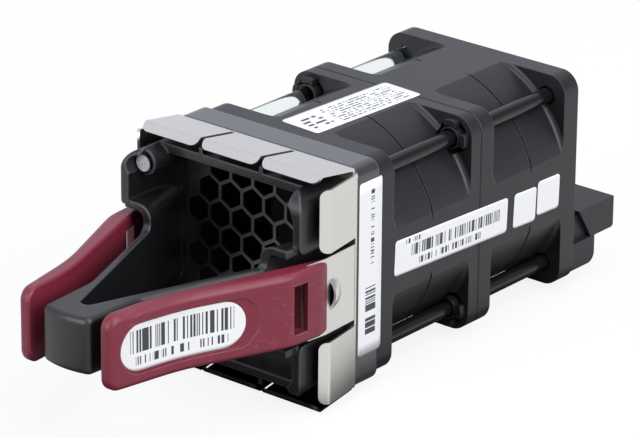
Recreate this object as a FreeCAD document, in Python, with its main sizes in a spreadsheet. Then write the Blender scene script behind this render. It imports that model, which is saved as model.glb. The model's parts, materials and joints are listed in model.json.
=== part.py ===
import FreeCAD, Part
import math
import os
import Sketcher

# Slide-in cooling fan module: two 40 mm fan halves back to back behind a bezel with a pull handle.
# Frame: X to the right, Y rearward along the fan axis, Z up, millimetres.
# The origin lies on the fan axis, in the plane where the bezel rim meets the front fan flange.

SIZES = [
    ("fan_size", 40.0, "width and height of the fan flanges"),
    ("half_length", 28.0, "length of one fan half"),
    ("flange_corner", 3.5, "corner radius of the flanges"),
    ("end_flange", 4.0, "thickness of the two outer flanges"),
    ("front_mid_flange", 2.7, "thickness of the front half's inner flange"),
    ("rear_mid_flange", 3.5, "thickness of the rear half's inner flange"),
    ("corner_web", 0.78, "wall between the air passage and the pockets of the claws"),
    ("corner_hole", 3.4, "diameter of the corner holes"),
    ("bore_margin", 1.2, "distance of the air passage from the flange sides"),
    ("barrel_proud", 0.87, "how far the barrel's round stands past the flange sides before it is cut flat"),
    ("seam_round", 0.3, "rounding of the edges where the halves meet"),
    ("flare_round", 1.0, "rounding between the barrel and its flanges"),
    ("flare_bite", 0.5, "overlap of that rounding with the barrel"),
    ("front_line_at", 10.4, "mould line of the front barrel behind its front flange"),
    ("rear_line_at", 10.9, "mould line of the rear barrel behind its front flange"),
    ("line_width", 0.45, "width of the mould line's groove"),
    ("line_depth", 0.3, "depth of the mould line's groove"),
    ("claw_radius", 2.9, "outer radius of the snap claws round a corner rod"),
    ("claw_wall", 0.55, "thickness of a snap claw"),
    ("claw_width", 2.4, "width of a snap claw"),
    ("claw_gap", 0.15, "clearance round a snap claw"),
    ("claw_lip", 0.45, "overhang of a snap claw"),
    ("claw_lip_length", 1.1, "length of the overhang along the axis"),
    ("collar_wall", 0.4, "wall of the collar round a corner rod"),
    ("base_setback", 0.4, "distance of a motor base from the middle plane"),
    ("base_thick", 1.6, "thickness of a motor base"),
    ("base_radius", 10.4, "radius of a motor base"),
    ("vane_root", 1.0, "overlap of a guide vane with the motor base"),
    ("vane_clear", 0.4, "gap between the guide vanes and the impeller hub"),
    ("vane_reach", 6.0, "length of the guide vanes along the axis"),
    ("vane_thick", 1.0, "thickness of a guide vane"),
    ("vane_lean", 2.0, "sideways lean of a guide vane over its length"),
    ("front_vanes", 7, "number of guide vanes in the front half"),
    ("rear_vanes", 6, "number of guide vanes in the rear half"),
    ("tube_radius", 3.3, "outside radius of the bearing tube"),
    ("tube_foot", 4.0, "radius of the bearing tube below the stator"),
    ("tube_start", 0.6, "start of the bearing tube from the middle plane"),
    ("tube_end", 16.5, "end of the bearing tube from the middle plane"),
    ("tube_waist", 2.0, "bore radius between the bearings"),
    ("fit_gap", 0.05, "gap between parts that are pressed or glued"),
    ("bearing_radius", 2.5, "outside radius of a bearing"),
    ("bearing_width", 2.3, "width of a bearing"),
    ("shaft_radius", 1.0, "radius of the shaft"),
    ("running_gap", 0.03, "running gap between shaft and bearing"),
    ("inner_bearing_at", 1.6, "start of the bearing near the middle plane"),
    ("outer_bearing_at", 13.9, "start of the bearing near the impeller nose"),
    ("washer_thick", 0.3, "thickness of the preload washer"),
    ("washer_radius", 1.9, "outside radius of the preload washer"),
    ("clip_at", 1.0, "start of the shaft clip"),
    ("clip_thick", 0.4, "thickness of the shaft clip"),
    ("clip_radius", 1.7, "outside radius of the shaft clip"),
    ("groove_depth", 0.25, "depth of the shaft groove for the clip"),
    ("shaft_start", 0.7, "start of the shaft from the middle plane"),
    ("shaft_end", 19.6, "end of the shaft from the middle plane"),
    ("board_thick", 1.0, "thickness of the circuit board"),
    ("board_radius", 9.7, "radius of the circuit board"),
    ("core_at", 6.5, "start of the stator stack"),
    ("core_length", 8.0, "length of the stator stack"),
    ("core_radius", 7.7, "outside radius of the stator"),
    ("core_ring", 4.5, "radius of the stator's centre ring"),
    ("pole_width", 2.6, "width of a stator pole"),
    ("shoe_thick", 1.1, "thickness of a pole shoe"),
    ("shoe_gap", 1.6, "gap between pole shoes"),
    ("bobbin_thick", 0.8, "thickness of an insulator plate"),
    ("bobbin_pole", 3.0, "width of an insulator arm"),
    ("coil_build", 0.9, "thickness of the windings"),
    ("coil_length", 1.25, "length of a winding along its pole"),
    ("coil_at", 4.75, "start of a winding along its pole"),
    ("magnet_inner", 8.05, "inside radius of the ring magnet"),
    ("magnet_wall", 1.15, "wall of the ring magnet"),
    ("magnet_at", 6.0, "start of the ring magnet"),
    ("yoke_wall", 0.5, "wall of the rotor yoke"),
    ("yoke_at", 5.2, "start of the rotor yoke"),
    ("yoke_end", 18.0, "end of the rotor yoke"),
    ("hub_wall", 1.2, "wall of the impeller hub"),
    ("hub_at", 4.8, "start of the impeller hub"),
    ("hub_end", 20.8, "nose of the impeller hub"),
    ("hub_round", 1.5, "rounding of the hub nose"),
    ("boss_radius", 1.6, "radius of the hub's shaft boss"),
    ("tip_gap", 0.4, "gap between the blade tips and the bore"),
    ("blade_near", 7.2, "blade edge near the guide vanes"),
    ("blade_far", 23.2, "blade edge at the open end"),
    ("blade_root_sweep", 4.1, "half the turn of a blade at its root"),
    ("blade_mid_sweep", 6.3, "half the turn of a blade at mid span"),
    ("blade_tip_sweep", 8.2, "half the turn of a blade at its tip"),
    ("blade_camber", 1.3, "camber of a blade"),
    ("blade_thick", 1.1, "thickness of a blade"),
    ("blade_edge", 0.5, "thickness of a blade at its edges"),
    ("front_blades", 7, "number of blades of the front impeller"),
    ("rear_blades", 5, "number of blades of the rear impeller"),
    ("rim_step", 0.2, "how far the bezel rim stands out past the flanges"),
    ("rim_depth", 6.1, "depth of the bezel rim"),
    ("rim_corner", 2.2, "corner radius of the bezel rim"),
    ("rim_round", 0.5, "rounding of the rim's edges"),
    ("sheet", 0.4, "thickness of the screen and the spring fingers"),
    ("sheet_gap", 0.1, "gap between neighbouring sheet parts"),
    ("screen_inset", 0.9, "distance of the screen's edge inside the duct's side"),
    ("cells_across", 7.3, "honeycomb pitches across the screen"),
    ("cell_rows", 3, "rows of cells above and below the middle row"),
    ("cell_web", 0.65, "width of the webs between honeycomb cells"),
    ("duct_inset", 1.4, "distance of the duct inside the rim's side"),
    ("duct_wall", 1.6, "wall of the duct"),
    ("duct_corner", 3.6, "corner radius of the duct"),
    ("wall_reach", 8.6, "reach of the top and bottom walls in front of the screen"),
    ("ear_reach", 15.3, "reach of the left ears in front of the screen"),
    ("ear_setback", 2.6, "how much shorter the right ears are"),
    ("ear_corner", 3.6, "rounding of an ear's outer corner"),
    ("ear_notch", 1.2, "rounding of an ear's inner corner"),
    ("ear_width", 3.0, "width of an ear's turn over the top and bottom walls"),
    ("window_half", 8.3, "half height of the lever openings"),
    ("window_back", 1.6, "distance of the lever openings from the screen"),
    ("shelf_reach", 15.2, "reach of the shelves in front of the screen"),
    ("shelf_bend", 2.6, "outer radius where a shelf bends into its arm"),
    ("shelf_fillet", 1.5, "inner radius of that bend"),
    ("shelf", 1.3, "thickness of the shelves over the lever openings"),
    ("rib_width", 0.8, "width of the ribs between the top fingers"),
    ("rib_height", 1.1, "height of those ribs"),
    ("rib_length", 6.6, "length of those ribs"),
    ("peg_inset", 2.05, "distance of the corner pegs from the duct's sides"),
    ("peg_radius", 0.55, "radius of the corner pegs"),
    ("peg_length", 1.4, "length of the corner pegs"),
    ("arm_inset", 1.43, "distance of a handle arm's inner face from the duct's side at its rear"),
    ("vee_tip", 0.98, "half width of the handle opening at its inner end"),
    ("vee_apex", 45.3, "inner end of the handle opening in front of the screen"),
    ("vee_round", 1.3, "rounding at the end of the handle opening"),
    ("arm_thick", 1.4, "thickness of a handle arm at its root"),
    ("arm_bite", 0.2, "overlap of an arm with the wall behind its opening"),
    ("arm_root_half", 5.6, "half height of a handle arm at its root"),
    ("arm_round", 1.6, "rounding where an arm meets its shelf"),
    ("grip_half", 5.2, "half width of the grip block's front"),
    ("grip_shoulder", 0.5, "how much wider the grip block is at its rear"),
    ("grip_length", 11.8, "length of the grip block"),
    ("grip_depth", 4.2, "distance from the handle opening to the grip block's front"),
    ("grip_height", 5.0, "half height of the grip block's front"),
    ("grip_bulge", 0.9, "bulge of the grip block's front"),
    ("grip_round", 1.3, "rounding of the grip block's upright edges"),
    ("grip_turn", 6.0, "rounding where an arm turns into the grip block"),
    ("grip_edge", 1.0, "rounding of the outer edges of arms and grip block"),
    ("pipe_radius", 1.5, "radius of the light pipe"),
    ("pipe_front", 12.8, "lens of the light pipe in front of the screen"),
    ("pipe_lens", 1.75, "radius of the light pipe's lens"),
    ("pipe_rear", 0.6, "end of the light pipe behind the rear flange"),
    ("pipe_collar", 2.3, "outer radius of the collar round the lens"),
    ("pipe_setback", 0.5, "distance of the collar behind the lens"),
    ("rod_radius", 1.4, "radius of a tie rod"),
    ("rod_depth", 4.5, "depth of a tie rod in the rim"),
    ("rod_head", 2.5, "radius of a tie rod's head"),
    ("rod_head_depth", 1.6, "thickness of a tie rod's head"),
    ("rod_gap", 0.1, "clearance round a tie rod's thread and head"),
    ("finger_foot", 2.2, "width of the finger strips' foot"),
    ("finger_flare", 1.35, "outward flare of a finger"),
    ("finger_reach", 8.5, "distance from foot to bend"),
    ("finger_lip_in", 1.3, "inward run of a finger's lip"),
    ("finger_lip_out", 1.4, "forward run of a finger's lip"),
    ("finger_bend", 0.7, "rounding of a finger's bend"),
    ("finger_tip", 1.4, "rounding of a finger's tip corners"),
    ("finger_inset", 0.7, "distance of the outer fingers from the rim's corners"),
    ("finger_gap", 0.9, "gap between the top or bottom fingers"),
    ("side_finger_low", 8.1, "inner edge of a side finger"),
    ("side_finger_inset", 0.8, "distance of a side finger from the rim's corner"),
    ("hinge_gap", 0.1, "gap at the bend line where a latch spring flexes"),
    ("latch_half", 6.9, "half width of a latch spring"),
    ("latch_flare", 0.35, "outward flare of a latch spring"),
    ("latch_reach", 8.5, "distance from a latch spring's foot to its lever"),
    ("tongue_drop", 1.1, "inward slope of a latch spring's tongue"),
    ("tongue_length", 9.0, "length of a latch spring's tongue"),
    ("tongue_wide", 4.0, "full-width part of the tongue"),
    ("tongue_half", 5.4, "half width of the tongue's narrow part"),
    ("tongue_bar", 1.3, "width of the bar that closes the tongue's slot"),
    ("catch_radius", 2.75, "radius of the half-dome catch"),
    ("catch_height", 1.15, "height of the half-dome catch"),
    ("catch_at", 1.3, "distance of the catch from the lever"),
    ("lever_skin", 0.25, "thickness of a lever's rear edge over its spring"),
    ("lever_rear_out", 1.05, "outer face of a lever's rear outside the rim's side"),
    ("lever_rear_in", 0.65, "inner face of a lever's rear inside the rim's side"),
    ("lever_chamfer", 1.8, "length of the chamfer at a lever's rear"),
    ("lever_bend_out", 0.4, "outer face of a lever's first bend outside the rim's side"),
    ("lever_bend_at", 8.7, "first bend in front of a lever's rear"),
    ("lever_mid_out", 7.8, "outer face of a lever's second bend from the grip block's side"),
    ("lever_mid_at", 27.0, "second bend in front of a lever's rear"),
    ("lever_tip_out", 4.9, "outer face of a lever's tip from the grip block's side"),
    ("lever_length", 41.9, "length of a lever"),
    ("lever_inner_out", 3.7, "inner face of a lever's bend from the grip block's side"),
    ("lever_inner_at", 30.6, "inner bend in front of a lever's rear"),
    ("lever_tip_in", 2.6, "inner face of a lever's tip from the grip block's side"),
    ("lever_corner", 2.4, "rounding of a lever's tip in side view"),
    ("lever_half", 6.7, "half height of a lever"),
    ("lever_round", 1.2, "rounding of a lever's outer edges"),
    ("lever_inner_round", 0.5, "rounding of a lever's inner edges"),
    ("lever_turn", 12.0, "radius of a lever's first bend"),
    ("lever_heel", 5.0, "radius where a lever's chamfer starts"),
    ("lever_sweep", 40.0, "radius of a lever's other bends"),
    ("lever_slot_half", 4.4, "half height of a lever's slot"),
    ("lever_slot_rear", 5.0, "rear end of the slot from a lever's rear"),
    ("lever_slot_front", 8.2, "front end of the slot from a lever's rear"),
    ("dish_rear", 14.1, "rear end of the finger dish from a lever's rear"),
    ("dish_front", 39.8, "front end of the finger dish from a lever's rear"),
    ("dish_half", 4.5, "half height of the finger dish"),
    ("dish_bow", 3.4, "bow of the finger dish's ends"),
    ("dish_depth", 0.6, "depth of the finger dish"),
    ("dish_ramp", 2.6, "length over which the finger dish runs out at its rear"),
    ("dish_over", 2.25, "height of the dish cutter above a lever's face"),
    ("plug_wide", 12.3, "width of the plug housing"),
    ("plug_side", 0.7, "distance of the plug housing from the flange's right side"),
    ("plug_foot", 1.6, "distance of the plug housing from the flange's underside"),
    ("plug_step", 5.0, "height of the plug's body"),
    ("plug_tall", 10.95, "height of the plug housing"),
    ("plug_body", 7.4, "length of the plug's body"),
    ("plug_nose", 13.0, "length of the plug's nose"),
    ("plug_ramp", 2.5, "start of the nose's slanted edge"),
    ("plug_inset", 1.2, "inset of the plate beside the nose"),
    ("plug_round", 1.8, "rounding of the plug's body"),
    ("nose_round", 0.6, "rounding of the plug's nose"),
    ("plug_wall", 1.1, "wall of the plug's nose"),
    ("plug_depth", 4.6, "depth of the plug's opening"),
    ("contacts", 6, "number of contacts"),
    ("contact_thick", 0.5, "thickness of a contact"),
    ("contact_reach", 3.8, "length of a contact"),
    ("contact_margin", 1.75, "distance of a contact from the outside of the nose"),
    ("overcut", 1.0, "reach of a cutting outline past the solid"),
]

doc = FreeCAD.newDocument("CoolingFanModule")
sheet = doc.addObject("Spreadsheet::Sheet", "sheet")
sheet.Label = "sheet"


class Size:
    """A size as a number, with the spreadsheet formula that drives it."""

    def __init__(self, value, formula):
        self.value = float(value)
        self.formula = formula

    def combine(self, other, sign, value):
        return Size(value, "(" + self.formula + sign + other.formula + ")")

    def __add__(self, other):
        other = size(other)
        return self.combine(other, " + ", self.value + other.value)

    def __sub__(self, other):
        other = size(other)
        return self.combine(other, " - ", self.value - other.value)

    def __mul__(self, other):
        other = size(other)
        return self.combine(other, " * ", self.value * other.value)

    def __truediv__(self, other):
        other = size(other)
        return self.combine(other, " / ", self.value / other.value)

    def __radd__(self, other):
        return size(other) + self

    def __rsub__(self, other):
        return size(other) - self

    def __rmul__(self, other):
        return size(other) * self

    def __neg__(self):
        return size(0) - self


def size(thing):
    """Turns a plain number into a size and leaves a size as it is."""
    if isinstance(thing, Size):
        return thing
    return Size(thing, "(%r)" % float(thing))


def root(thing):
    """Square root of a size."""
    return Size(math.sqrt(thing.value), "sqrt(" + thing.formula + ")")


cell = {}
for line, (alias, number, note) in enumerate(SIZES, start=1):
    sheet.set("A%d" % line, alias)
    sheet.set("B%d" % line, str(number))
    sheet.setAlias("B%d" % line, alias)
    sheet.set("C%d" % line, note)
    cell[alias] = Size(number, "sheet." + alias)
doc.recompute()


class Sizes:
    """Gives each size of the sheet under its own name."""

    def __getattr__(self, alias):
        return cell[alias]


S = Sizes()
NODES = []


def keep(thing, name):
    """Names a finished sub-part and lists it for writing."""
    thing.Label = name
    NODES.append((name, thing))
    return thing


def bind(thing, prop, amount):
    """Ties one property to its formula in the sheet."""
    thing.setExpression(prop, size(amount).formula)


def new_body(name):
    body = doc.addObject("PartDesign::Body", name)
    body.Label = name + "_body"
    return body


def plane_sketch(body, role, offset):
    """Sketch on one of the body's own planes, moved along the plane's normal."""
    sketch = body.newObject("Sketcher::SketchObject", body.Name + "_sketch")
    for plane in body.Origin.OriginFeatures:
        if plane.Role == role:
            sketch.AttachmentSupport = (plane, "")
    sketch.MapMode = "FlatFace"
    bind(sketch, "AttachmentOffset.Base.z", offset)
    return sketch


def cross_sketch(body, y):
    """Sketch across the module at one station: X to the right, Z up."""
    return plane_sketch(body, "XZ_Plane", -size(y))


def side_sketch(body, x=0):
    """Sketch in side view: Y to the rear, Z up."""
    return plane_sketch(body, "YZ_Plane", x)


def plan_sketch(body, z=0):
    """Sketch in plan view: X to the right, Y to the rear."""
    return plane_sketch(body, "XY_Plane", z)


def hold(sketch, item, spot, corner):
    """Ties one point of a sketch to two sizes."""
    for kind, amount in zip(("DistanceX", "DistanceY"), corner):
        place = sketch.addConstraint(Sketcher.Constraint(kind, item, spot, amount.value))
        sketch.setExpression("Constraints[%d]" % place, amount.formula)


def outline(sketch, corners):
    """Closed outline through corners (x, y) or (x, y, bulge); a bulge bows the next edge to its right."""
    count = len(corners)
    ends = [(size(c[0]), size(c[1])) for c in corners]
    edges = []
    for i, corner in enumerate(corners):
        (ax, ay), (bx, by) = ends[i], ends[(i + 1) % count]
        a = FreeCAD.Vector(ax.value, ay.value, 0)
        b = FreeCAD.Vector(bx.value, by.value, 0)
        if len(corner) == 2:
            item = sketch.addGeometry(Part.LineSegment(a, b), False)
            edges.append((item, 1, 2))
            continue
        bow = size(corner[2])
        across = (b - a).normalize()
        middle = (a + b) * 0.5 + FreeCAD.Vector(across.y, -across.x, 0) * bow.value
        ahead = bow.value > 0
        ends_in_order = (a, b) if ahead else (b, a)
        item = sketch.addGeometry(Part.Arc(ends_in_order[0], middle, ends_in_order[1]), False)
        edges.append((item, 1, 2) if ahead else (item, 2, 1))
        rise = bow if ahead else -bow
        chord = (bx - ax) * (bx - ax) + (by - ay) * (by - ay)
        radius = (chord / 4 + rise * rise) / (2 * rise)
        place = sketch.addConstraint(Sketcher.Constraint("Radius", item, radius.value))
        sketch.setExpression("Constraints[%d]" % place, radius.formula)
    for i, (item, start, end) in enumerate(edges):
        after, after_start, after_end = edges[(i + 1) % count]
        sketch.addConstraint(Sketcher.Constraint("Coincident", item, end, after, after_start))
        hold(sketch, item, start, ends[i])
    return sketch


def box_outline(sketch, left, right, low, high):
    return outline(sketch, [(left, low), (right, low), (right, high), (left, high)])


def circle(sketch, x, y, radius):
    """Full circle with its centre and radius tied to the sheet."""
    x, y, radius = size(x), size(y), size(radius)
    spot = FreeCAD.Vector(x.value, y.value, 0)
    item = sketch.addGeometry(Part.Circle(spot, FreeCAD.Vector(0, 0, 1), radius.value), False)
    place = sketch.addConstraint(Sketcher.Constraint("Radius", item, radius.value))
    sketch.setExpression("Constraints[%d]" % place, radius.formula)
    hold(sketch, item, 3, (x, y))
    return sketch


def grow(body, sketch, length, reverse=True):
    """Pads a sketch; a cross sketch grows to the rear when reversed."""
    feature = body.newObject("PartDesign::Pad", body.Name + "_pad")
    feature.Profile = sketch
    feature.Reversed = reverse
    bind(feature, "Length", length)
    return feature


def grow_both(body, sketch, length):
    """Pads a sketch half of the length to each side."""
    feature = body.newObject("PartDesign::Pad", body.Name + "_pad")
    feature.Profile = sketch
    feature.SideType = "Symmetric"
    bind(feature, "Length", length)
    return feature


def cut(body, sketch, length, reverse=False):
    """Pockets a sketch; a cross sketch cuts to the rear unless reversed."""
    feature = body.newObject("PartDesign::Pocket", body.Name + "_pocket")
    feature.Profile = sketch
    feature.Reversed = reverse
    bind(feature, "Length", length)
    return feature


def cut_both(body, sketch, length):
    feature = body.newObject("PartDesign::Pocket", body.Name + "_pocket")
    feature.Profile = sketch
    feature.SideType = "Symmetric"
    bind(feature, "Length", length)
    return feature


def turn(body, corners, kind="Revolution"):
    """Revolves an outline of (radius, y) corners about the fan axis."""
    sketch = outline(plan_sketch(body), corners)
    feature = body.newObject("PartDesign::" + kind, body.Name + "_turn")
    feature.Profile = sketch
    feature.ReferenceAxis = (sketch, ["V_Axis"])
    feature.Angle = 360
    return feature


def repeat(body, feature, count):
    """Repeats a feature evenly round the fan axis."""
    pattern = body.newObject("PartDesign::PolarPattern", body.Name + "_pattern")
    pattern.Originals = [feature]
    for axis in body.Origin.OriginFeatures:
        if axis.Role == "Y_Axis":
            pattern.Axis = (axis, [""])
    pattern.Angle = 360
    bind(pattern, "Occurrences", count)
    body.Tip = pattern
    return pattern


def round_edges(body, chosen, radius):
    """Rounds those edges of the body that the test picks."""
    doc.recompute()
    base = body.Tip
    names = ["Edge%d" % i for i, edge in enumerate(base.Shape.Edges, start=1) if chosen(edge)]
    if not names:
        raise RuntimeError("no edge to round on " + body.Name)
    feature = body.newObject("PartDesign::Fillet", body.Name + "_fillet")
    feature.Base = (base, names)
    bind(feature, "Radius", radius)
    doc.recompute()
    return feature


def runs_along(edge, axis):
    """True for a straight edge along one of the three axes."""
    if not isinstance(edge.Curve, (Part.Line, Part.LineSegment)):
        return False
    way = edge.Vertexes[-1].Point - edge.Vertexes[0].Point
    return abs(abs(way[axis]) - way.Length) < 1e-5


def near(value, target):
    return abs(value - size(target).value) < 1e-4


def corners_of(pitch):
    """The four corner positions of a square pattern."""
    half = pitch / 2
    return [(half, half), (-half, half), (-half, -half), (half, -half)]


def image_of(source, name, normal):
    """Mirror image of a piece through the fan axis."""
    image = doc.addObject("Part::Mirroring", name)
    image.Source = source
    image.Normal = FreeCAD.Vector(*normal)
    return image


def mirrored(source, name, normal):
    """Mirror image of a finished piece, kept as a sub-part."""
    return keep(image_of(source, name, normal), name)


def cylinder(name, radius, low, high, x=0, z=0):
    """Plain cylinder along the fan axis between two stations."""
    item = doc.addObject("Part::Cylinder", name)
    bind(item, "Radius", radius)
    bind(item, "Height", size(high) - low)
    item.Placement.Rotation = FreeCAD.Rotation(FreeCAD.Vector(1, 0, 0), -90)
    bind(item, "Placement.Base.x", x)
    bind(item, "Placement.Base.y", low)
    bind(item, "Placement.Base.z", z)
    return item


def block(name, left, right, front, rear, low, high):
    """Plain box between six planes."""
    item = doc.addObject("Part::Box", name)
    bind(item, "Length", size(right) - left)
    bind(item, "Width", size(rear) - front)
    bind(item, "Height", size(high) - low)
    bind(item, "Placement.Base.x", left)
    bind(item, "Placement.Base.y", front)
    bind(item, "Placement.Base.z", low)
    return item


def fuse(name, pieces):
    item = doc.addObject("Part::MultiFuse", name)
    item.Shapes = pieces
    return item


def subtract(name, base, tool):
    item = doc.addObject("Part::Cut", name)
    item.Base = base
    item.Tool = tool
    return item


def group(name, pieces):
    """Several like solids kept as one sub-part."""
    item = doc.addObject("Part::Compound", name)
    item.Links = pieces
    return item


# Stations along the fan axis
fan_half = S.fan_size / 2
mid_y = S.half_length
rear_y = 2 * S.half_length
rim_front = -S.rim_depth
sheet_front = rim_front - S.sheet
bore_radius = fan_half - S.bore_margin
corner_at = (bore_radius + S.corner_web + S.claw_radius + S.claw_gap) / root(size(2))
hole_pitch = 2 * corner_at
barrel_radius = fan_half + S.barrel_proud
rim_half = fan_half + S.rim_step
duct_half = rim_half - S.duct_inset
duct_inner = duct_half - S.duct_wall
strip_half = rim_half - S.finger_inset
finger_width = (2 * strip_half - 2 * S.finger_gap) / 3
finger_pitch = finger_width + S.finger_gap
peg_at = duct_half - S.peg_inset
quarter_bow = 1 - root(size(2)) / 2


class Half:
    """One fan half: stations are counted from the middle plane outward."""

    def __init__(self, name, way, vanes, blades, mid_flange, line_at):
        self.name = name
        self.way = way
        self.vanes = vanes
        self.blades = blades
        self.mid_flange = mid_flange
        self.line_at = line_at

    def at(self, station):
        return mid_y + self.way * size(station)

    def span(self, first, last):
        """Front and rear station of a stretch given from the middle plane outward."""
        ends = [self.at(first), self.at(last)]
        return ends if self.way > 0 else ends[::-1]

    def profile(self, corners):
        """Corners (radius, station) carried over to (radius, y)."""
        return [(corner[0], self.at(corner[1])) + tuple(corner[2:]) for corner in corners]


FRONT = Half("front", -1, S.front_vanes, S.front_blades, S.front_mid_flange, S.front_line_at)
REAR = Half("rear", 1, S.rear_vanes, S.rear_blades, S.rear_mid_flange, S.rear_line_at)

# Radii of the nested rotor parts
magnet_outer = S.magnet_inner + S.magnet_wall
yoke_inner = magnet_outer + S.fit_gap
yoke_outer = yoke_inner + S.yoke_wall
hub_inner = yoke_outer + S.fit_gap
hub_outer = hub_inner + S.hub_wall


def flange(body, first, last):
    """Square plate with rounded corners between two stations."""
    sketch = box_outline(cross_sketch(body, first), -fan_half, fan_half, -fan_half, fan_half)
    grow(body, sketch, last - first)


def barrel(body, half):
    """Round barrel with a fine mould line, rounded into its flanges and cut flat along the four sides."""
    low, high = half.span(0, S.half_length)
    grow(body, circle(cross_sketch(body, low), 0, 0, barrel_radius), high - low)
    front, rear = half.span(half.mid_flange, S.half_length - S.end_flange)
    line_y = front + half.line_at
    inside, outside = barrel_radius - S.line_depth, barrel_radius + S.overcut
    turn(body, [
        (inside, line_y), (outside, line_y), (outside, line_y + S.line_width), (inside, line_y + S.line_width),
    ], "Groove")
    inside, outside = barrel_radius - S.flare_bite, barrel_radius + S.flare_round
    bow = -S.flare_round * quarter_bow
    foot = front + S.flare_round
    turn(body, [(inside, front), (outside, front, bow), (barrel_radius, foot), (inside, foot)])
    foot = rear - S.flare_round
    turn(body, [(inside, foot), (barrel_radius, foot, bow), (outside, rear), (inside, rear)])
    trim = box_outline(cross_sketch(body, low), -fan_half, fan_half, -fan_half, fan_half)
    beyond = outside + S.overcut
    box_outline(trim, -beyond, beyond, -beyond, beyond)
    cut(body, trim, high - low)


def fan_frame(half):
    """Housing of a fan half: two square flanges, barrel, motor base and guide vanes."""
    body = new_body(half.name + "_frame")
    flange(body, *half.span(S.half_length - S.end_flange, S.half_length))
    low, high = half.span(0, S.half_length)
    barrel(body, half)
    flange(body, *half.span(0, half.mid_flange))
    round_edges(
        body,
        lambda edge: runs_along(edge, 1) and near(abs(edge.CenterOfMass.x), fan_half)
        and near(abs(edge.CenterOfMass.z), fan_half),
        S.flange_corner,
    )
    round_edges(body, lambda edge: near(edge.CenterOfMass.y, mid_y), S.seam_round)
    cut(body, circle(cross_sketch(body, low), 0, 0, bore_radius), high - low)
    base_low, base_high = half.span(S.base_setback, S.base_setback + S.base_thick)
    base = circle(cross_sketch(body, base_low), 0, 0, S.base_radius)
    circle(base, 0, 0, S.tube_radius + S.fit_gap)
    vane_from = S.base_radius - S.vane_root
    vane_low, vane_high = half.at(S.base_setback), half.at(S.vane_reach)
    thick = S.vane_thick / 2
    lean = S.vane_lean * half.way
    vane = outline(
        side_sketch(body, vane_from),
        [(vane_low, -thick), (vane_high, lean - thick), (vane_high, lean + thick), (vane_low, thick)],
    )
    blade = grow(body, vane, fan_half - S.bore_margin / 2 - vane_from, reverse=False)
    repeat(body, blade, half.vanes)
    base_top = S.base_setback + S.base_thick
    hub_room = hub_outer + S.vane_clear
    room_end = S.vane_reach + S.overcut
    turn(body, half.profile([(0, base_top), (hub_room, base_top), (hub_room, room_end), (0, room_end)]), "Groove")
    grow(body, base, base_high - base_low)
    holes = cross_sketch(body, low)
    for x, z in corners_of(hole_pitch):
        circle(holes, x, z, S.corner_hole / 2)
    cut(body, holes, high - low)
    return body


front_frame = fan_frame(FRONT)
claw_end = mid_y - S.front_mid_flange - S.claw_gap - S.claw_lip_length
claw_holes = cross_sketch(front_frame, claw_end - S.claw_gap)
for x, z in corners_of(hole_pitch):
    circle(claw_holes, x, z, S.claw_radius + S.claw_gap)
cut(front_frame, claw_holes, mid_y - claw_end + S.claw_gap)
keep(front_frame, "front_frame")

rear_frame = fan_frame(REAR)
collars = cross_sketch(rear_frame, claw_end)
for x, z in corners_of(hole_pitch):
    circle(collars, x, z, S.corner_hole / 2)
    circle(collars, x, z, S.corner_hole / 2 + S.collar_wall)
grow(rear_frame, collars, mid_y - claw_end)


def claw(sketch, x, z, way_x, way_z, outer):
    """Curved claw on the outward side of a corner hole, bowed about the rod."""
    half = S.claw_width / 2
    inner = S.claw_radius - S.claw_wall
    far = root(outer * outer - half * half)
    close = root(inner * inner - half * half)
    spots = [(close, -half), (far, -half, outer - far), (far, half), (close, half, close - inner)]
    turned = []
    for spot in spots:
        along, aside = size(spot[0]), size(spot[1])
        turned.append((x + way_x * along - way_z * aside, z + way_z * along + way_x * aside) + spot[2:])
    outline(sketch, turned)


for claw_front, claw_rear, claw_outer in (
    (claw_end, mid_y, S.claw_radius),
    (claw_end, claw_end + S.claw_lip_length, S.claw_radius + S.claw_lip),
):
    claws = cross_sketch(rear_frame, claw_front)
    for x, z in corners_of(hole_pitch):
        claw(claws, x, z, math.copysign(1, x.value), 0, claw_outer)
        claw(claws, x, z, 0, math.copysign(1, z.value), claw_outer)
    grow(rear_frame, claws, claw_rear - claw_front)

head_seats = cross_sketch(rear_frame, rear_y - S.rod_head_depth)
for x, z in corners_of(hole_pitch):
    if x.value > 0 or z.value < 0:
        circle(head_seats, x, z, S.rod_head + S.rod_gap)
cut(rear_frame, head_seats, S.rod_head_depth)
keep(rear_frame, "rear_frame")


def ring(half, name, corners):
    """Turned piece of a fan half."""
    body = new_body(half.name + "_" + name)
    turn(body, half.profile(corners))
    return keep(body, half.name + "_" + name)


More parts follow.
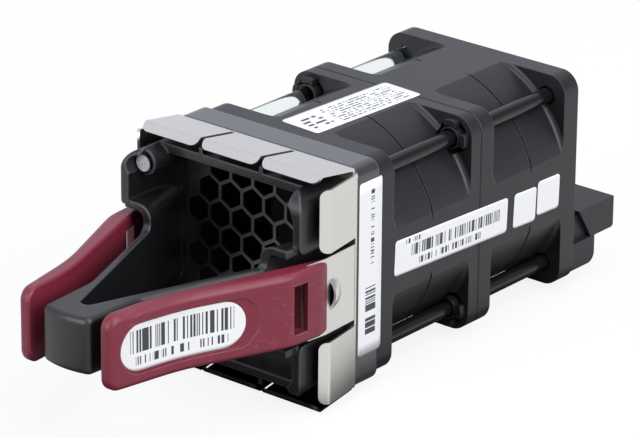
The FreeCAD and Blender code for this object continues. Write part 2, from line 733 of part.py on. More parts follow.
def stator(half):
    """Fixed inside of a motor: tube, bearings, board, laminated core, insulators and windings."""
    base_top = S.base_setback + S.base_thick
    inner_seat = S.inner_bearing_at + S.bearing_width
    shoulder = S.core_at - S.bobbin_thick
    bearing_bore = S.bearing_radius + S.fit_gap
    ring(half, "bearing_tube", [
        (bearing_bore, S.tube_start),
        (S.tube_radius, S.tube_start),
        (S.tube_radius, base_top),
        (S.tube_foot, base_top),
        (S.tube_foot, shoulder),
        (S.tube_radius, shoulder),
        (S.tube_radius, S.tube_end),
        (bearing_bore, S.tube_end),
        (bearing_bore, S.outer_bearing_at),
        (S.tube_waist, S.outer_bearing_at),
        (S.tube_waist, inner_seat),
        (bearing_bore, inner_seat),
    ])
    for name, start in (("inner_bearing", S.inner_bearing_at), ("outer_bearing", S.outer_bearing_at)):
        ring(half, name, [
            (S.shaft_radius + S.running_gap, start),
            (S.bearing_radius, start),
            (S.bearing_radius, start + S.bearing_width),
            (S.shaft_radius + S.running_gap, start + S.bearing_width),
        ])
    ring(half, "circuit_board", [
        (S.tube_foot + S.fit_gap, base_top),
        (S.board_radius, base_top),
        (S.board_radius, base_top + S.board_thick),
        (S.tube_foot + S.fit_gap, base_top + S.board_thick),
    ])
    prefix = half.name + "_"
    core_low, core_high = half.span(S.core_at, S.core_at + S.core_length)
    seat = S.tube_radius + S.fit_gap
    pole = S.pole_width / 2
    shoe = subtract(
        prefix + "shoes",
        cylinder(prefix + "shoe_outside", S.core_radius, core_low, core_high),
        cylinder(prefix + "shoe_inside", S.core_radius - S.shoe_thick, core_low, core_high),
    )
    gaps = []
    diagonal = root(size(2)) / 2
    short = (S.core_radius - S.shoe_gap / 2) * diagonal
    long = (S.core_radius + S.shoe_gap / 2) * diagonal
    for turned, corner_x, corner_z in ((45, -long, short), (135, short, long)):
        gap = block(
            prefix + "shoe_gap_%d" % turned,
            corner_x, corner_x + 2 * S.core_radius, core_low, core_high, corner_z, corner_z + S.shoe_gap,
        )
        gap.Placement.Rotation = FreeCAD.Rotation(FreeCAD.Vector(0, 1, 0), turned)
        gaps.append(gap)
    shoes = subtract(prefix + "split_shoes", shoe, fuse(prefix + "shoe_gaps", gaps))
    arm_end = S.core_radius - S.shoe_thick / 2
    solid = fuse(prefix + "core_solid", [
        shoes,
        cylinder(prefix + "core_ring", S.core_ring, core_low, core_high),
        block(prefix + "pole_x", -arm_end, arm_end, core_low, core_high, -pole, pole),
        block(prefix + "pole_z", -pole, pole, core_low, core_high, -arm_end, arm_end),
    ])
    core = subtract(prefix + "stator_core", solid, cylinder(prefix + "core_bore", seat, core_low, core_high))
    keep(core, prefix + "stator_core")
    plates = []
    arm_end = S.core_radius - S.shoe_thick
    arm = S.bobbin_pole / 2
    for name, start in (("low", S.core_at - S.bobbin_thick), ("high", S.core_at + S.core_length)):
        low, high = half.span(start, start + S.bobbin_thick)
        solid = fuse(prefix + "bobbin_solid_" + name, [
            cylinder(prefix + "bobbin_ring_" + name, S.core_ring, low, high),
            block(prefix + "bobbin_x_" + name, -arm_end, arm_end, low, high, -arm, arm),
            block(prefix + "bobbin_z_" + name, -arm, arm, low, high, -arm_end, arm_end),
        ])
        hole = cylinder(prefix + "bobbin_bore_" + name, seat, low, high)
        plates.append(subtract(prefix + "bobbin_" + name, solid, hole))
    keep(group(prefix + "winding_bobbin", plates), prefix + "winding_bobbin")
    inside = S.core_at - S.bobbin_thick
    in_low, in_high = half.span(inside, S.core_at + S.core_length + S.bobbin_thick)
    build = S.coil_build
    hole = arm + S.fit_gap
    near_end, far_end = S.coil_at, S.coil_at + S.coil_length
    coils = []
    for name, way_x, way_z in (("right", 1, 0), ("top", 0, 1), ("left", -1, 0), ("bottom", 0, -1)):
        walls = []
        for grown, label in ((build, "outside"), (size(0), "inside")):
            aside = hole + grown
            along = sorted([near_end * (way_x + way_z), far_end * (way_x + way_z)], key=lambda item: item.value)
            front, rear = in_low - S.fit_gap - grown, in_high + S.fit_gap + grown
            if way_x:
                sides = (along[0], along[1], front, rear, -aside, aside)
            else:
                sides = (-aside, aside, front, rear, along[0], along[1])
            walls.append(block(prefix + "coil_" + name + "_" + label, *sides))
        coils.append(subtract(prefix + "coil_" + name, *walls))
    keep(group(prefix + "coils", coils), prefix + "coils")


def rotor(half):
    """Turning part of a motor: shaft, clip, washer, yoke, magnet and impeller."""
    groove = S.shaft_radius - S.groove_depth
    clip_top = S.clip_at + S.clip_thick
    ring(half, "shaft", [
        (0, S.shaft_start),
        (S.shaft_radius, S.shaft_start),
        (S.shaft_radius, S.clip_at),
        (groove, S.clip_at),
        (groove, clip_top),
        (S.shaft_radius, clip_top),
        (S.shaft_radius, S.shaft_end),
        (0, S.shaft_end),
    ])
    ring(half, "shaft_clip", [
        (groove + S.fit_gap, S.clip_at),
        (S.clip_radius, S.clip_at),
        (S.clip_radius, clip_top),
        (groove + S.fit_gap, clip_top),
    ])
    boss_end = S.outer_bearing_at + S.bearing_width + S.fit_gap + S.washer_thick
    ring(half, "preload_washer", [
        (S.shaft_radius + S.fit_gap, boss_end - S.washer_thick),
        (S.washer_radius, boss_end - S.washer_thick),
        (S.washer_radius, boss_end),
        (S.shaft_radius + S.fit_gap, boss_end),
    ])
    roof = S.yoke_end - S.yoke_wall
    ring(half, "ring_magnet", [
        (S.magnet_inner, S.magnet_at),
        (magnet_outer, S.magnet_at),
        (magnet_outer, roof),
        (S.magnet_inner, roof),
    ])
    ring(half, "rotor_yoke", [
        (yoke_inner, S.yoke_at),
        (yoke_outer, S.yoke_at),
        (yoke_outer, S.yoke_end),
        (S.boss_radius + S.fit_gap, S.yoke_end),
        (S.boss_radius + S.fit_gap, roof),
        (yoke_inner, roof),
    ])
    impeller(half, boss_end)


def blade_section(body, half, radius, sweep):
    """Cambered section of a blade in the plane at one distance from the axis."""
    sketch = side_sketch(body, radius)
    edge = S.blade_edge / 2
    bow = S.blade_camber
    swell = (S.blade_thick - S.blade_edge) / 2
    inlet = half.at(S.blade_far) if half.way < 0 else half.at(S.blade_near)
    outlet = half.at(S.blade_near) if half.way < 0 else half.at(S.blade_far)
    turned = sweep * half.way
    outline(sketch, [
        (inlet, turned - edge, bow * -half.way + swell),
        (outlet, -turned - edge),
        (outlet, -turned + edge, bow * half.way + swell),
        (inlet, turned + edge),
    ])
    return sketch


def impeller(half, boss_end):
    """Hub with twisted blades; the blades are lofted, repeated and trimmed to the bore."""
    body = new_body(half.name + "_blades")
    turn(body, half.profile([(0, S.hub_at), (hub_outer, S.hub_at), (hub_outer, S.hub_end), (0, S.hub_end)]))
    round_edges(
        body,
        lambda edge: near(edge.CenterOfMass.y, half.at(S.hub_end)) and near(abs(edge.Length), 2 * math.pi * hub_outer),
        S.hub_round,
    )
    tip = bore_radius - S.tip_gap
    first = blade_section(body, half, yoke_outer, S.blade_root_sweep)
    middle = blade_section(body, half, (hub_inner + tip) / 2, S.blade_mid_sweep)
    last = blade_section(body, half, tip + S.tip_gap, S.blade_tip_sweep)
    blade = body.newObject("PartDesign::AdditiveLoft", body.Name + "_blade")
    blade.Profile = first
    blade.Sections = [middle, last]
    blade.Ruled = False
    doc.recompute()
    repeat(body, blade, half.blades)
    doc.recompute()
    inside = new_body(half.name + "_hub_inside")
    socket = S.shaft_radius + S.fit_gap
    turn(inside, half.profile([
        (0, S.hub_at - S.hub_wall),
        (hub_inner, S.hub_at - S.hub_wall),
        (hub_inner, S.yoke_end),
        (S.boss_radius, S.yoke_end),
        (S.boss_radius, boss_end),
        (socket, boss_end),
        (socket, S.shaft_end),
        (0, S.shaft_end),
    ]))
    trimmed = doc.addObject("Part::Common", half.name + "_trimmed_blades")
    trimmed.Base = body
    trimmed.Tool = cylinder(half.name + "_tip_circle", tip, *half.span(0, S.half_length))
    hollowed = subtract(half.name + "_impeller", trimmed, inside)
    keep(hollowed, half.name + "_impeller")


for fan in (FRONT, REAR):
    stator(fan)
    rotor(fan)

# Bezel rim: glossy square ring between the screen and the front flange
rim = new_body("bezel_rim")
grow(rim, box_outline(cross_sketch(rim, rim_front), -rim_half, rim_half, -rim_half, rim_half), S.rim_depth)
round_edges(rim, lambda edge: runs_along(edge, 1), S.rim_corner)
round_edges(rim, lambda edge: near(edge.CenterOfMass.y, 0) or near(edge.CenterOfMass.y, rim_front), S.rim_round)
cut(rim, circle(cross_sketch(rim, rim_front), 0, 0, bore_radius), S.rim_depth)
rod_holes = cross_sketch(rim, -S.rod_depth)
peg_holes = cross_sketch(rim, rim_front)
pipe_hole = circle(cross_sketch(rim, rim_front), -corner_at, corner_at, S.corner_hole / 2)
for (x, z), (peg_x, peg_z) in zip(corners_of(hole_pitch), corners_of(2 * peg_at)):
    if x.value < 0 and z.value > 0:
        continue
    circle(rod_holes, x, z, S.rod_radius + S.rod_gap)
    circle(peg_holes, peg_x, peg_z, S.peg_radius + S.fit_gap)
cut(rim, rod_holes, S.rod_depth)
cut(rim, peg_holes, S.peg_length - S.sheet + S.fit_gap)
cut(rim, pipe_hole, S.rim_depth)
keep(rim, "bezel_rim")

# Honeycomb screen: thin plate with rows of six-sided cells
screen_half = duct_half - S.screen_inset
cell_pitch = 2 * screen_half / S.cells_across
row_pitch = cell_pitch * root(size(3)) / 2
cell_radius = (cell_pitch - S.cell_web) / root(size(3))
holes = []
rows = int(S.cell_rows.value)
for row in range(-rows, rows + 1):
    shifted = row % 2 == 0
    for column in range(-rows, rows + (0 if shifted else 1)):
        x = cell_pitch * (column + (0.5 if shifted else 0))
        z = row_pitch * row
        if row == rows and column == -rows:
            continue
        prism = doc.addObject("Part::Prism", "screen_cell")
        prism.Polygon = 6
        bind(prism, "Circumradius", cell_radius)
        bind(prism, "Height", S.sheet)
        upright = FreeCAD.Rotation(FreeCAD.Vector(1, 0, 0), -90)
        prism.Placement.Rotation = upright.multiply(FreeCAD.Rotation(FreeCAD.Vector(0, 0, 1), 30))
        bind(prism, "Placement.Base.x", x)
        bind(prism, "Placement.Base.y", sheet_front)
        bind(prism, "Placement.Base.z", z)
        holes.append(prism)
holes.append(cylinder("screen_pipe_hole", S.corner_hole / 2, sheet_front, rim_front, -corner_at, corner_at))
for peg_x, peg_z in corners_of(2 * peg_at):
    if peg_x.value > 0 or peg_z.value < 0:
        holes.append(cylinder("screen_peg_hole", S.peg_radius + S.fit_gap, sheet_front, rim_front, peg_x, peg_z))
plate = block("screen_plate", -screen_half, screen_half, sheet_front, rim_front, -screen_half, screen_half)
screen = subtract("honeycomb_screen", plate, fuse("screen_holes", holes))
keep(screen, "honeycomb_screen")

# Bezel handle: duct with ears, shelves, V arms and grip block
ear_front = sheet_front - S.ear_reach
wall_front = sheet_front - S.wall_reach
window_rear = sheet_front - S.window_back
apex_y = sheet_front - S.vee_apex
grip_y = apex_y - S.grip_depth
right_front = ear_front + S.ear_setback
root_y = sheet_front - S.shelf_reach
arm_rear = window_rear + S.arm_bite
shelf_top = S.window_half + S.shelf


def rounded_box(sketch, half, corner):
    """Square outline with quarter-round corners."""
    flat = half - corner
    bow = corner * quarter_bow
    return outline(sketch, [
        (-flat, -half), (flat, -half, bow),
        (half, -flat), (half, flat, bow),
        (flat, half), (-flat, half, bow),
        (-half, flat), (-half, -flat, bow),
    ])


def arm_x(y):
    """Inner face of the right handle arm at one station."""
    return arm_root_x + vee_lean * (y - arm_rear)


def arm_out(y):
    """Outer face of the right handle arm at one station."""
    return shoulder_x + (arm_x(arm_rear) + S.arm_thick - shoulder_x) * (y - shoulder_y) / (arm_rear - shoulder_y)


arm_root_x = duct_half - S.arm_inset
vee_lean = (arm_root_x - S.vee_tip) / (arm_rear - apex_y)
shoulder_y = grip_y + S.grip_length
shoulder_x = S.grip_half + S.grip_shoulder
arms = new_body("handle_arms")
arm_top = S.arm_root_half + S.overcut
grow_both(arms, outline(plan_sketch(arms), [
    (arm_x(arm_rear), arm_rear),
    (arm_x(apex_y), apex_y),
    (-arm_x(apex_y), apex_y),
    (-arm_x(arm_rear), arm_rear),
    (-arm_out(arm_rear), arm_rear),
    (-shoulder_x, shoulder_y),
    (-S.grip_half, grip_y, S.grip_bulge),
    (S.grip_half, grip_y),
    (shoulder_x, shoulder_y),
    (arm_out(arm_rear), arm_rear),
]), 2 * arm_top)
beyond = grip_y - 2 * S.grip_bulge
above_arms = side_sketch(arms)
for way in (1, -1):
    outline(above_arms, [
        (arm_rear, way * S.arm_root_half),
        (beyond, way * S.grip_height),
        (beyond, way * (arm_top + S.overcut)),
        (arm_rear, way * (arm_top + S.overcut)),
    ])
cut_both(arms, above_arms, 2 * S.fan_size)


def upright_at(*stations):
    """Picks upright edges at the given stations."""
    return lambda edge: runs_along(edge, 2) and any(near(edge.CenterOfMass.y, y) for y in stations)


def outer_rim(edge):
    """Picks the upper and lower edges of the outer faces of arms and grip block."""
    spot = edge.CenterOfMass
    if abs(spot.z) < (S.grip_height - S.fit_gap).value:
        return False
    outside = abs(spot.x) > (arm_x(size(spot.y)) + S.arm_thick - S.fit_gap).value
    return outside or spot.y < (apex_y - S.grip_edge).value


round_edges(arms, upright_at(apex_y), S.vee_round)
round_edges(arms, upright_at(grip_y), S.grip_round)
round_edges(arms, upright_at(shoulder_y), S.grip_turn)
round_edges(arms, outer_rim, S.grip_edge)

# Shelf over and under a lever opening, bent into the root of its arm
shelf_front = root_y - S.arm_round
shelf = new_body("handle_shelf")
grow_both(shelf, outline(plan_sketch(shelf), [
    (arm_x(shelf_front), shelf_front),
    (arm_out(shelf_front), shelf_front),
    (arm_out(arm_rear), arm_rear),
    (arm_x(arm_rear), arm_rear),
]), 2 * shelf_top)
above_root = side_sketch(shelf)
root_half = S.grip_height
for way in (1, -1):
    outline(above_root, [
        (root_y, way * (shelf_top + S.overcut)),
        (root_y, way * (root_half + S.arm_round), way * -S.arm_round * quarter_bow),
        (shelf_front, way * root_half),
        (shelf_front - S.overcut, way * root_half),
        (shelf_front - S.overcut, way * (shelf_top + S.overcut)),
    ])
cut_both(shelf, above_root, 2 * S.fan_size)
shelf_side = duct_half - S.duct_wall / 2
for shelf_low in (S.window_half, -shelf_top):
    plate = outline(plan_sketch(shelf, shelf_low), [
        (arm_x(root_y), root_y),
        (shelf_side, root_y),
        (shelf_side, arm_rear),
        (arm_x(arm_rear), arm_rear),
    ])
    grow(shelf, plate, S.shelf, reverse=False)


def along_arm(height, face):
    """Picks the edges that follow one face of the arm at one height behind the shelf's front."""

    def chosen(edge):
        spot = edge.CenterOfMass
        on_face = near(spot.x, face(size(spot.y)))
        return on_face and near(abs(spot.z), height) and spot.y > root_y.value

    return chosen


round_edges(shelf, along_arm(shelf_top, arm_x), S.shelf_bend)
round_edges(shelf, along_arm(S.window_half, arm_out), S.shelf_fillet)
left_shelf = image_of(shelf, "handle_shelf_left", (1, 0, 0))

duct = new_body("handle_duct")
walls = rounded_box(cross_sketch(duct, ear_front), duct_half, S.duct_corner)
rounded_box(walls, duct_inner, S.duct_corner)
grow(duct, walls, S.ear_reach)
beyond_ears = ear_front - S.overcut
windows = box_outline(side_sketch(duct), beyond_ears, window_rear, -S.window_half, S.window_half)
cut_both(duct, windows, 2 * S.fan_size)
mouth_half = duct_half - S.ear_width
cut_both(duct, box_outline(plan_sketch(duct), -mouth_half, mouth_half, beyond_ears, wall_front), 2 * S.fan_size)
cut_both(duct, box_outline(plan_sketch(duct), 0, fan_half, beyond_ears, right_front), 2 * S.fan_size)


def outside_corners(sketch, front, half, radius):
    """What lies outside two quarter-round corners at the front of a side view."""
    for way in (1, -1):
        outline(sketch, [
            (front - S.overcut, way * (half + S.overcut)),
            (front - S.overcut, way * (half - radius)),
            (front, way * (half - radius), way * -radius * quarter_bow),
            (front + radius, way * half),
            (front + radius, way * (half + S.overcut)),
        ])
    return sketch


for front, to_right in ((ear_front, False), (right_front, True)):
    ear_corners = outside_corners(side_sketch(duct), front, duct_half, S.ear_corner)
    cut(duct, ear_corners, S.fan_size, reverse=to_right)
round_edges(
    duct,
    lambda edge: runs_along(edge, 0) and near(abs(edge.CenterOfMass.z), S.window_half)
    and (near(edge.CenterOfMass.y, ear_front) or near(edge.CenterOfMass.y, right_front)),
    S.ear_notch,
)
ribs = cross_sketch(duct, wall_front)
for way_x in (1, -1):
    for way_z in (1, -1):
        middle = way_x * finger_pitch / 2
        foot, top = way_z * (duct_half - S.duct_wall / 2), way_z * (duct_half + S.rib_height)
        box_outline(ribs, middle - S.rib_width / 2, middle + S.rib_width / 2, foot, top)
grow(duct, ribs, S.rib_length)
lens_y = sheet_front - S.pipe_front
collar_y = lens_y + S.pipe_setback
grow(duct, circle(cross_sketch(duct, collar_y), -corner_at, corner_at, S.pipe_collar), sheet_front - collar_y)
pegs = cross_sketch(duct, sheet_front)
for peg_x, peg_z in corners_of(2 * peg_at):
    if peg_x.value > 0 or peg_z.value < 0:
        circle(pegs, peg_x, peg_z, S.peg_radius)
grow(duct, pegs, S.peg_length)
pipe_way = circle(cross_sketch(duct, collar_y), -corner_at, corner_at, S.pipe_radius + S.fit_gap)
cut(duct, pipe_way, sheet_front - collar_y)
lens_seat = circle(cross_sketch(duct, ear_front), -corner_at, corner_at, S.pipe_lens + S.fit_gap)
cut(duct, lens_seat, collar_y - ear_front)
keep(fuse("bezel_handle", [duct, arms, shelf, left_shelf]), "bezel_handle")

# Light pipe: clear rod whose lens rests on the collar in the bezel
pipe = fuse("light_pipe", [
    cylinder("pipe_rod", S.pipe_radius, collar_y, rear_y + S.pipe_rear, -corner_at, corner_at),
    cylinder("pipe_lens", S.pipe_lens, lens_y, collar_y, -corner_at, corner_at),
])
keep(pipe, "light_pipe")

# Tie rods: through both fan halves into the rim, heads sunk in the rear flange
rods = []
for x, z in corners_of(hole_pitch):
    if x.value < 0 and z.value > 0:
        continue
    rod = cylinder("rod_stem", S.rod_radius, -S.rod_depth, rear_y - S.rod_head_depth, x, z)
    head = cylinder("rod_end", S.rod_head, rear_y - S.rod_head_depth, rear_y, x, z)
    rods.append(fuse("tie_rod", [rod, head]))
keep(group("tie_rods", rods), "tie_rods")

# Spring fingers: thin strips clamped at their foot, flared out and turned in at the tip
foot_in = rim_half - S.finger_foot
bend_y = rim_front - S.finger_reach
tip_y = bend_y - S.finger_lip_out
bend_at = rim_half + S.finger_flare
tip_at = bend_at - S.finger_lip_in
slant = S.sheet * root(size(2)) / 2
FINGER = [
    (rim_front, rim_half - S.sheet),
    (rim_front, rim_half),
    (bend_y, bend_at),
    (tip_y, tip_at),
    (tip_y + slant, tip_at - slant),
    (bend_y + slant, bend_at - S.sheet - slant / 2),
    (sheet_front, rim_half - S.sheet),
]


def finish_fingers(body, width_axis):
    """Rounds the bends and the tip corners of the fingers."""
    out_axis = 2 - width_axis
    round_edges(
        body,
        lambda edge: runs_along(edge, width_axis) and near(edge.CenterOfMass.y, bend_y)
        and near(abs(edge.CenterOfMass[out_axis]), bend_at),
        S.finger_bend,
    )
    round_edges(
        body,
        lambda edge: edge.CenterOfMass.y < (tip_y + S.sheet).value and near(edge.Length, S.sheet),
        S.finger_tip,
    )


top_fingers = new_body("spring_fingers_top")
foot = box_outline(cross_sketch(top_fingers, sheet_front), -strip_half, strip_half, foot_in, rim_half)
grow(top_fingers, foot, S.sheet)
for place in (-1, 0, 1):
    left = finger_pitch * place - finger_width / 2
    grow(top_fingers, outline(side_sketch(top_fingers, left), FINGER), finger_width, reverse=False)
finish_fingers(top_fingers, 0)
keep(top_fingers, "spring_fingers_top")
mirrored(top_fingers, "spring_fingers_bottom", (0, 0, 1))

right_fingers = new_body("spring_fingers_right")
foot_half = foot_in - S.sheet_gap
foot = box_outline(cross_sketch(right_fingers, sheet_front), foot_in, rim_half, -foot_half, foot_half)
grow(right_fingers, foot, S.sheet)
side_high = rim_half - S.side_finger_inset
side_width = side_high - S.side_finger_low
for low in (S.side_finger_low, -side_high):
    across = outline(plan_sketch(right_fingers, low), [(spot[1], spot[0]) for spot in FINGER])
    grow(right_fingers, across, side_width, reverse=False)
finish_fingers(right_fingers, 2)
keep(right_fingers, "spring_fingers_right")
mirrored(right_fingers, "spring_fingers_left", (1, 0, 0))

# Latch springs: middle side fingers with a half-dome catch and a tongue that carries the lever
lever_y = rim_front - S.latch_reach
latch_x = rim_half + S.latch_flare
tongue_y = lever_y - S.tongue_length
tongue_x = latch_x - S.tongue_drop
spring = new_body("latch_strip")
hinge_y = sheet_front - S.hinge_gap
grow_both(spring, outline(plan_sketch(spring), [
    (rim_half - S.sheet, hinge_y),
    (rim_half, hinge_y),
    (latch_x, lever_y),
    (tongue_x, tongue_y),
    (tongue_x - S.sheet, tongue_y),
    (latch_x - S.sheet, lever_y),
]), 2 * S.latch_half)
tongue_cuts = side_sketch(spring)
narrow_y = lever_y - S.tongue_wide
for way in (1, -1):
    outline(tongue_cuts, [
        (narrow_y, way * S.tongue_half),
        (narrow_y, way * (S.latch_half + S.overcut)),
        (tongue_y - S.overcut, way * (S.latch_half + S.overcut)),
        (tongue_y - S.overcut, way * S.tongue_half),
    ])
slot_rear = lever_y - S.lever_slot_rear
slot_front = lever_y - S.lever_slot_front
box_outline(tongue_cuts, tongue_y + S.tongue_bar, slot_rear, -S.lever_slot_half, S.lever_slot_half)
cut_both(spring, tongue_cuts, 2 * S.fan_size)
catch_y = lever_y + S.catch_at
ball = (S.catch_radius * S.catch_radius + S.catch_height * S.catch_height) / (2 * S.catch_height)
ball_x = latch_x + S.catch_height - ball


def ball_piece(name, radius, left):
    """Rear half of a ball about the catch, kept on the outer side of the spring."""
    item = doc.addObject("Part::Sphere", name + "_ball")
    bind(item, "Radius", radius)
    bind(item, "Placement.Base.x", ball_x)
    bind(item, "Placement.Base.y", catch_y)
    reach = 2 * S.catch_radius
    side = block(name + "_side", left, latch_x + reach, catch_y, catch_y + reach, -reach, reach)
    piece = doc.addObject("Part::Common", name)
    piece.Base = item
    piece.Tool = side
    return piece


dome_floor = latch_x - 2 * S.sheet
dome = ball_piece("catch_dome", ball, latch_x - S.sheet)
hollow = ball_piece("catch_hollow", ball - S.sheet, dome_floor)
right_spring = subtract("latch_spring_right", fuse("latch_domed", [spring, dome]), hollow)
keep(right_spring, "latch_spring_right")
mirrored(right_spring, "latch_spring_left", (1, 0, 0))

# Squeeze levers: curved bars on the tongues, with a slot and a dished face
lever = new_body("lever_bar")
chamfer_y = lever_y - S.lever_chamfer
outer_bend = lever_y - S.lever_bend_at
outer_mid = lever_y - S.lever_mid_at
inner_bend = lever_y - S.lever_inner_at
lever_tip = lever_y - S.lever_length
bend_x = rim_half + S.lever_bend_out
mid_x = S.grip_half + S.lever_mid_out
tip_x = S.grip_half + S.lever_tip_out
rear_inner = rim_half - S.lever_rear_in
tip_inner = S.grip_half + S.lever_tip_in
grow_both(lever, outline(plan_sketch(lever), [
    (rear_inner, lever_y),
    (latch_x + S.lever_skin, lever_y),
    (rim_half + S.lever_rear_out, chamfer_y),
    (bend_x, outer_bend),
    (mid_x, outer_mid),
    (tip_x, lever_tip),
    (tip_inner, lever_tip),
    (S.grip_half + S.lever_inner_out, inner_bend),
]), 2 * S.lever_half)
cut_both(lever, outside_corners(side_sketch(lever), lever_tip, S.lever_half, S.lever_corner), 2 * S.fan_size)
round_edges(lever, upright_at(outer_bend), S.lever_turn)
round_edges(lever, upright_at(outer_mid, inner_bend), S.lever_sweep)
round_edges(lever, upright_at(chamfer_y), S.lever_heel)


def lever_rim(outer):
    """Picks the edges round the outer or the inner face of the lever, apart from those at its rear."""

    def chosen(edge):
        spot = edge.CenterOfMass
        along = (spot.y - lever_tip.value) / S.lever_length.value
        middle = tip_inner.value + S.lever_skin.value + along * (rear_inner - tip_inner).value
        if near(spot.y, lever_y) or runs_along(edge, 0) or (spot.x > middle) != outer:
            return False
        if near(spot.y, lever_tip):
            return runs_along(edge, 2)
        at_corner = abs(spot.z) > (S.lever_half - S.lever_corner).value
        return near(abs(spot.z), S.lever_half) or (at_corner and spot.y < (lever_tip + S.lever_corner).value)

    return chosen


round_edges(lever, lever_rim(True), S.lever_round)
round_edges(lever, lever_rim(False), S.lever_inner_round)
gap = S.fit_gap
stop = narrow_y - gap
drop = (lever_y - stop) / S.tongue_length * S.tongue_drop
wide_slot = outline(plan_sketch(lever), [
    (latch_x + gap, lever_y + S.sheet),
    (latch_x + gap, lever_y),
    (latch_x - drop + gap, stop),
    (latch_x - drop - S.sheet - gap, stop),
    (latch_x - S.sheet - gap, lever_y),
    (latch_x - S.sheet - gap, lever_y + S.sheet),
])
cut_both(lever, wide_slot, 2 * S.fan_size)
narrow_slot = outline(plan_sketch(lever), [
    (latch_x + gap, lever_y),
    (tongue_x + gap, tongue_y - gap),
    (tongue_x - S.sheet - gap, tongue_y - gap),
    (latch_x - S.sheet - gap, lever_y),
])
cut_both(lever, narrow_slot, 2 * (S.tongue_half + gap))
cut_both(
    lever,
    box_outline(side_sketch(lever), slot_front, slot_rear, -S.lever_slot_half, S.lever_slot_half),
    2 * S.fan_size,
)
skin = new_body("lever_dish_floor")


def face_x(y):
    """Outer face of the lever on the run between its two bends."""
    return mid_x + (bend_x - mid_x) * (y - outer_mid) / (outer_bend - outer_mid)


dish_start = lever_y - S.dish_rear
ramp_end = dish_start - S.dish_ramp
grow_both(skin, outline(plan_sketch(skin), [
    (face_x(dish_start), dish_start),
    (face_x(ramp_end) - S.dish_depth, ramp_end),
    (mid_x - S.dish_depth, outer_mid),
    (tip_x - S.dish_depth, lever_tip),
    (tip_x + S.dish_over, lever_tip),
    (mid_x + S.dish_over, outer_mid),
    (face_x(dish_start) + S.dish_over, dish_start),
]), 2 * S.lever_half)


def on_floor(station, x):
    """Picks the upright edge of the dish floor at one station."""
    return lambda edge: upright_at(station)(edge) and near(edge.CenterOfMass.x, x - S.dish_depth)


round_edges(skin, on_floor(ramp_end, face_x(ramp_end)), S.lever_turn)
round_edges(skin, on_floor(outer_mid, mid_x), S.lever_sweep)
oval = new_body("lever_dish_outline")
dish_rear = dish_start - S.dish_bow
dish_front = lever_y - S.dish_front + S.dish_bow
grow(oval, outline(side_sketch(oval), [
    (dish_front, -S.dish_half),
    (dish_rear, -S.dish_half, S.dish_bow),
    (dish_rear, S.dish_half),
    (dish_front, S.dish_half, S.dish_bow),
]), S.fan_size, reverse=False)
dish = doc.addObject("Part::Common", "lever_dish")
dish.Base = oval
dish.Tool = skin
right_lever = subtract("lever_right", lever, dish)
keep(right_lever, "lever_right")
mirrored(right_lever, "lever_left", (1, 0, 0))

# Plug housing: body against the rear flange, nose with the contacts behind it
plug = new_body("connector_housing")
plug_right = fan_half - S.plug_side
plug_left = plug_right - S.plug_wide
plug_low = fan_half - S.plug_foot
plug_split = plug_low - S.plug_step
plug_high = plug_low - S.plug_tall
plug_end = rear_y + S.plug_nose
body_end = rear_y + S.plug_body
ramp_y = rear_y + S.plug_ramp
body_profile = outline(side_sketch(plug, plug_left), [
    (rear_y, -plug_low),
    (body_end - S.plug_round, -plug_low, S.plug_round * quarter_bow),
    (body_end, -plug_low + S.plug_round),
    (body_end, -plug_split),
    (rear_y, -plug_split),
])
grow(plug, body_profile, S.plug_wide, reverse=False)
plate_profile = outline(side_sketch(plug, plug_left), [
    (rear_y, -plug_split),
    (body_end, -plug_split),
    (body_end, -plug_high - S.plug_inset),
    (rear_y, -plug_high - S.plug_inset),
])
grow(plug, plate_profile, S.plug_wide - S.plug_inset, reverse=False)
nose_profile = outline(side_sketch(plug, plug_left), [
    (body_end - S.plug_wall, -plug_split),
    (plug_end - S.nose_round, -plug_split, S.nose_round * quarter_bow),
    (plug_end, -plug_split + S.nose_round),
    (plug_end, -plug_high),
    (ramp_y, -plug_high),
])
grow(plug, nose_profile, S.plug_wide, reverse=False)
cavity_y = plug_end - S.plug_depth
cavity = box_outline(
    cross_sketch(plug, cavity_y),
    plug_left + S.plug_wall, plug_right - S.plug_wall,
    -plug_split + S.plug_wall, -plug_high - S.plug_wall,
)
cut(plug, cavity, S.plug_depth)
keep(plug, "connector_housing")
pins = []
row = S.plug_wide - 2 * S.plug_wall
pin_pitch = row / S.contacts
for i in range(int(S.contacts.value)):
    middle = plug_left + S.plug_wall + pin_pitch * (i + 0.5)
    pins.append(block(
        "contact_%d" % (i + 1),
        middle - S.contact_thick / 2, middle + S.contact_thick / 2,
        cavity_y, cavity_y + S.contact_reach,
        -plug_split + S.contact_margin, -plug_high - S.contact_margin,
    ))
keep(group("connector_contacts", pins), "connector_contacts")

doc.recompute()
for item in doc.Objects:
    if "Invalid" in item.State or "Error" in item.State:
        raise RuntimeError(item.Name + " did not build")
os.makedirs("parts", exist_ok=True)
for name, item in NODES:
    shape = item.Shape
    if shape.isNull() or not shape.isValid() or not shape.Solids:
        raise RuntimeError(name + " has no valid solid")
    shape.exportStep("parts/" + name + ".step")
    print("%-24s %d solids %9.2f mm3" % (name, len(shape.Solids), shape.Volume))
print(len(NODES), "sub-parts")
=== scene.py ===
# %% [markdown]
# A slide-in fan module for a server, dressed for a studio picture: two fans back to back, behind a
# bezel with a pull handle and two squeeze levers.
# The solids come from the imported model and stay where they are. This lesson gives each of them a
# finish, adds the paper labels that lie on them, and sets up floor, light and camera.
# Lengths in the text are millimetres; Blender works in metres, so MM converts.

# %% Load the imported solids
import json
import math

import bpy
import numpy as np
from mathutils import Matrix, Vector


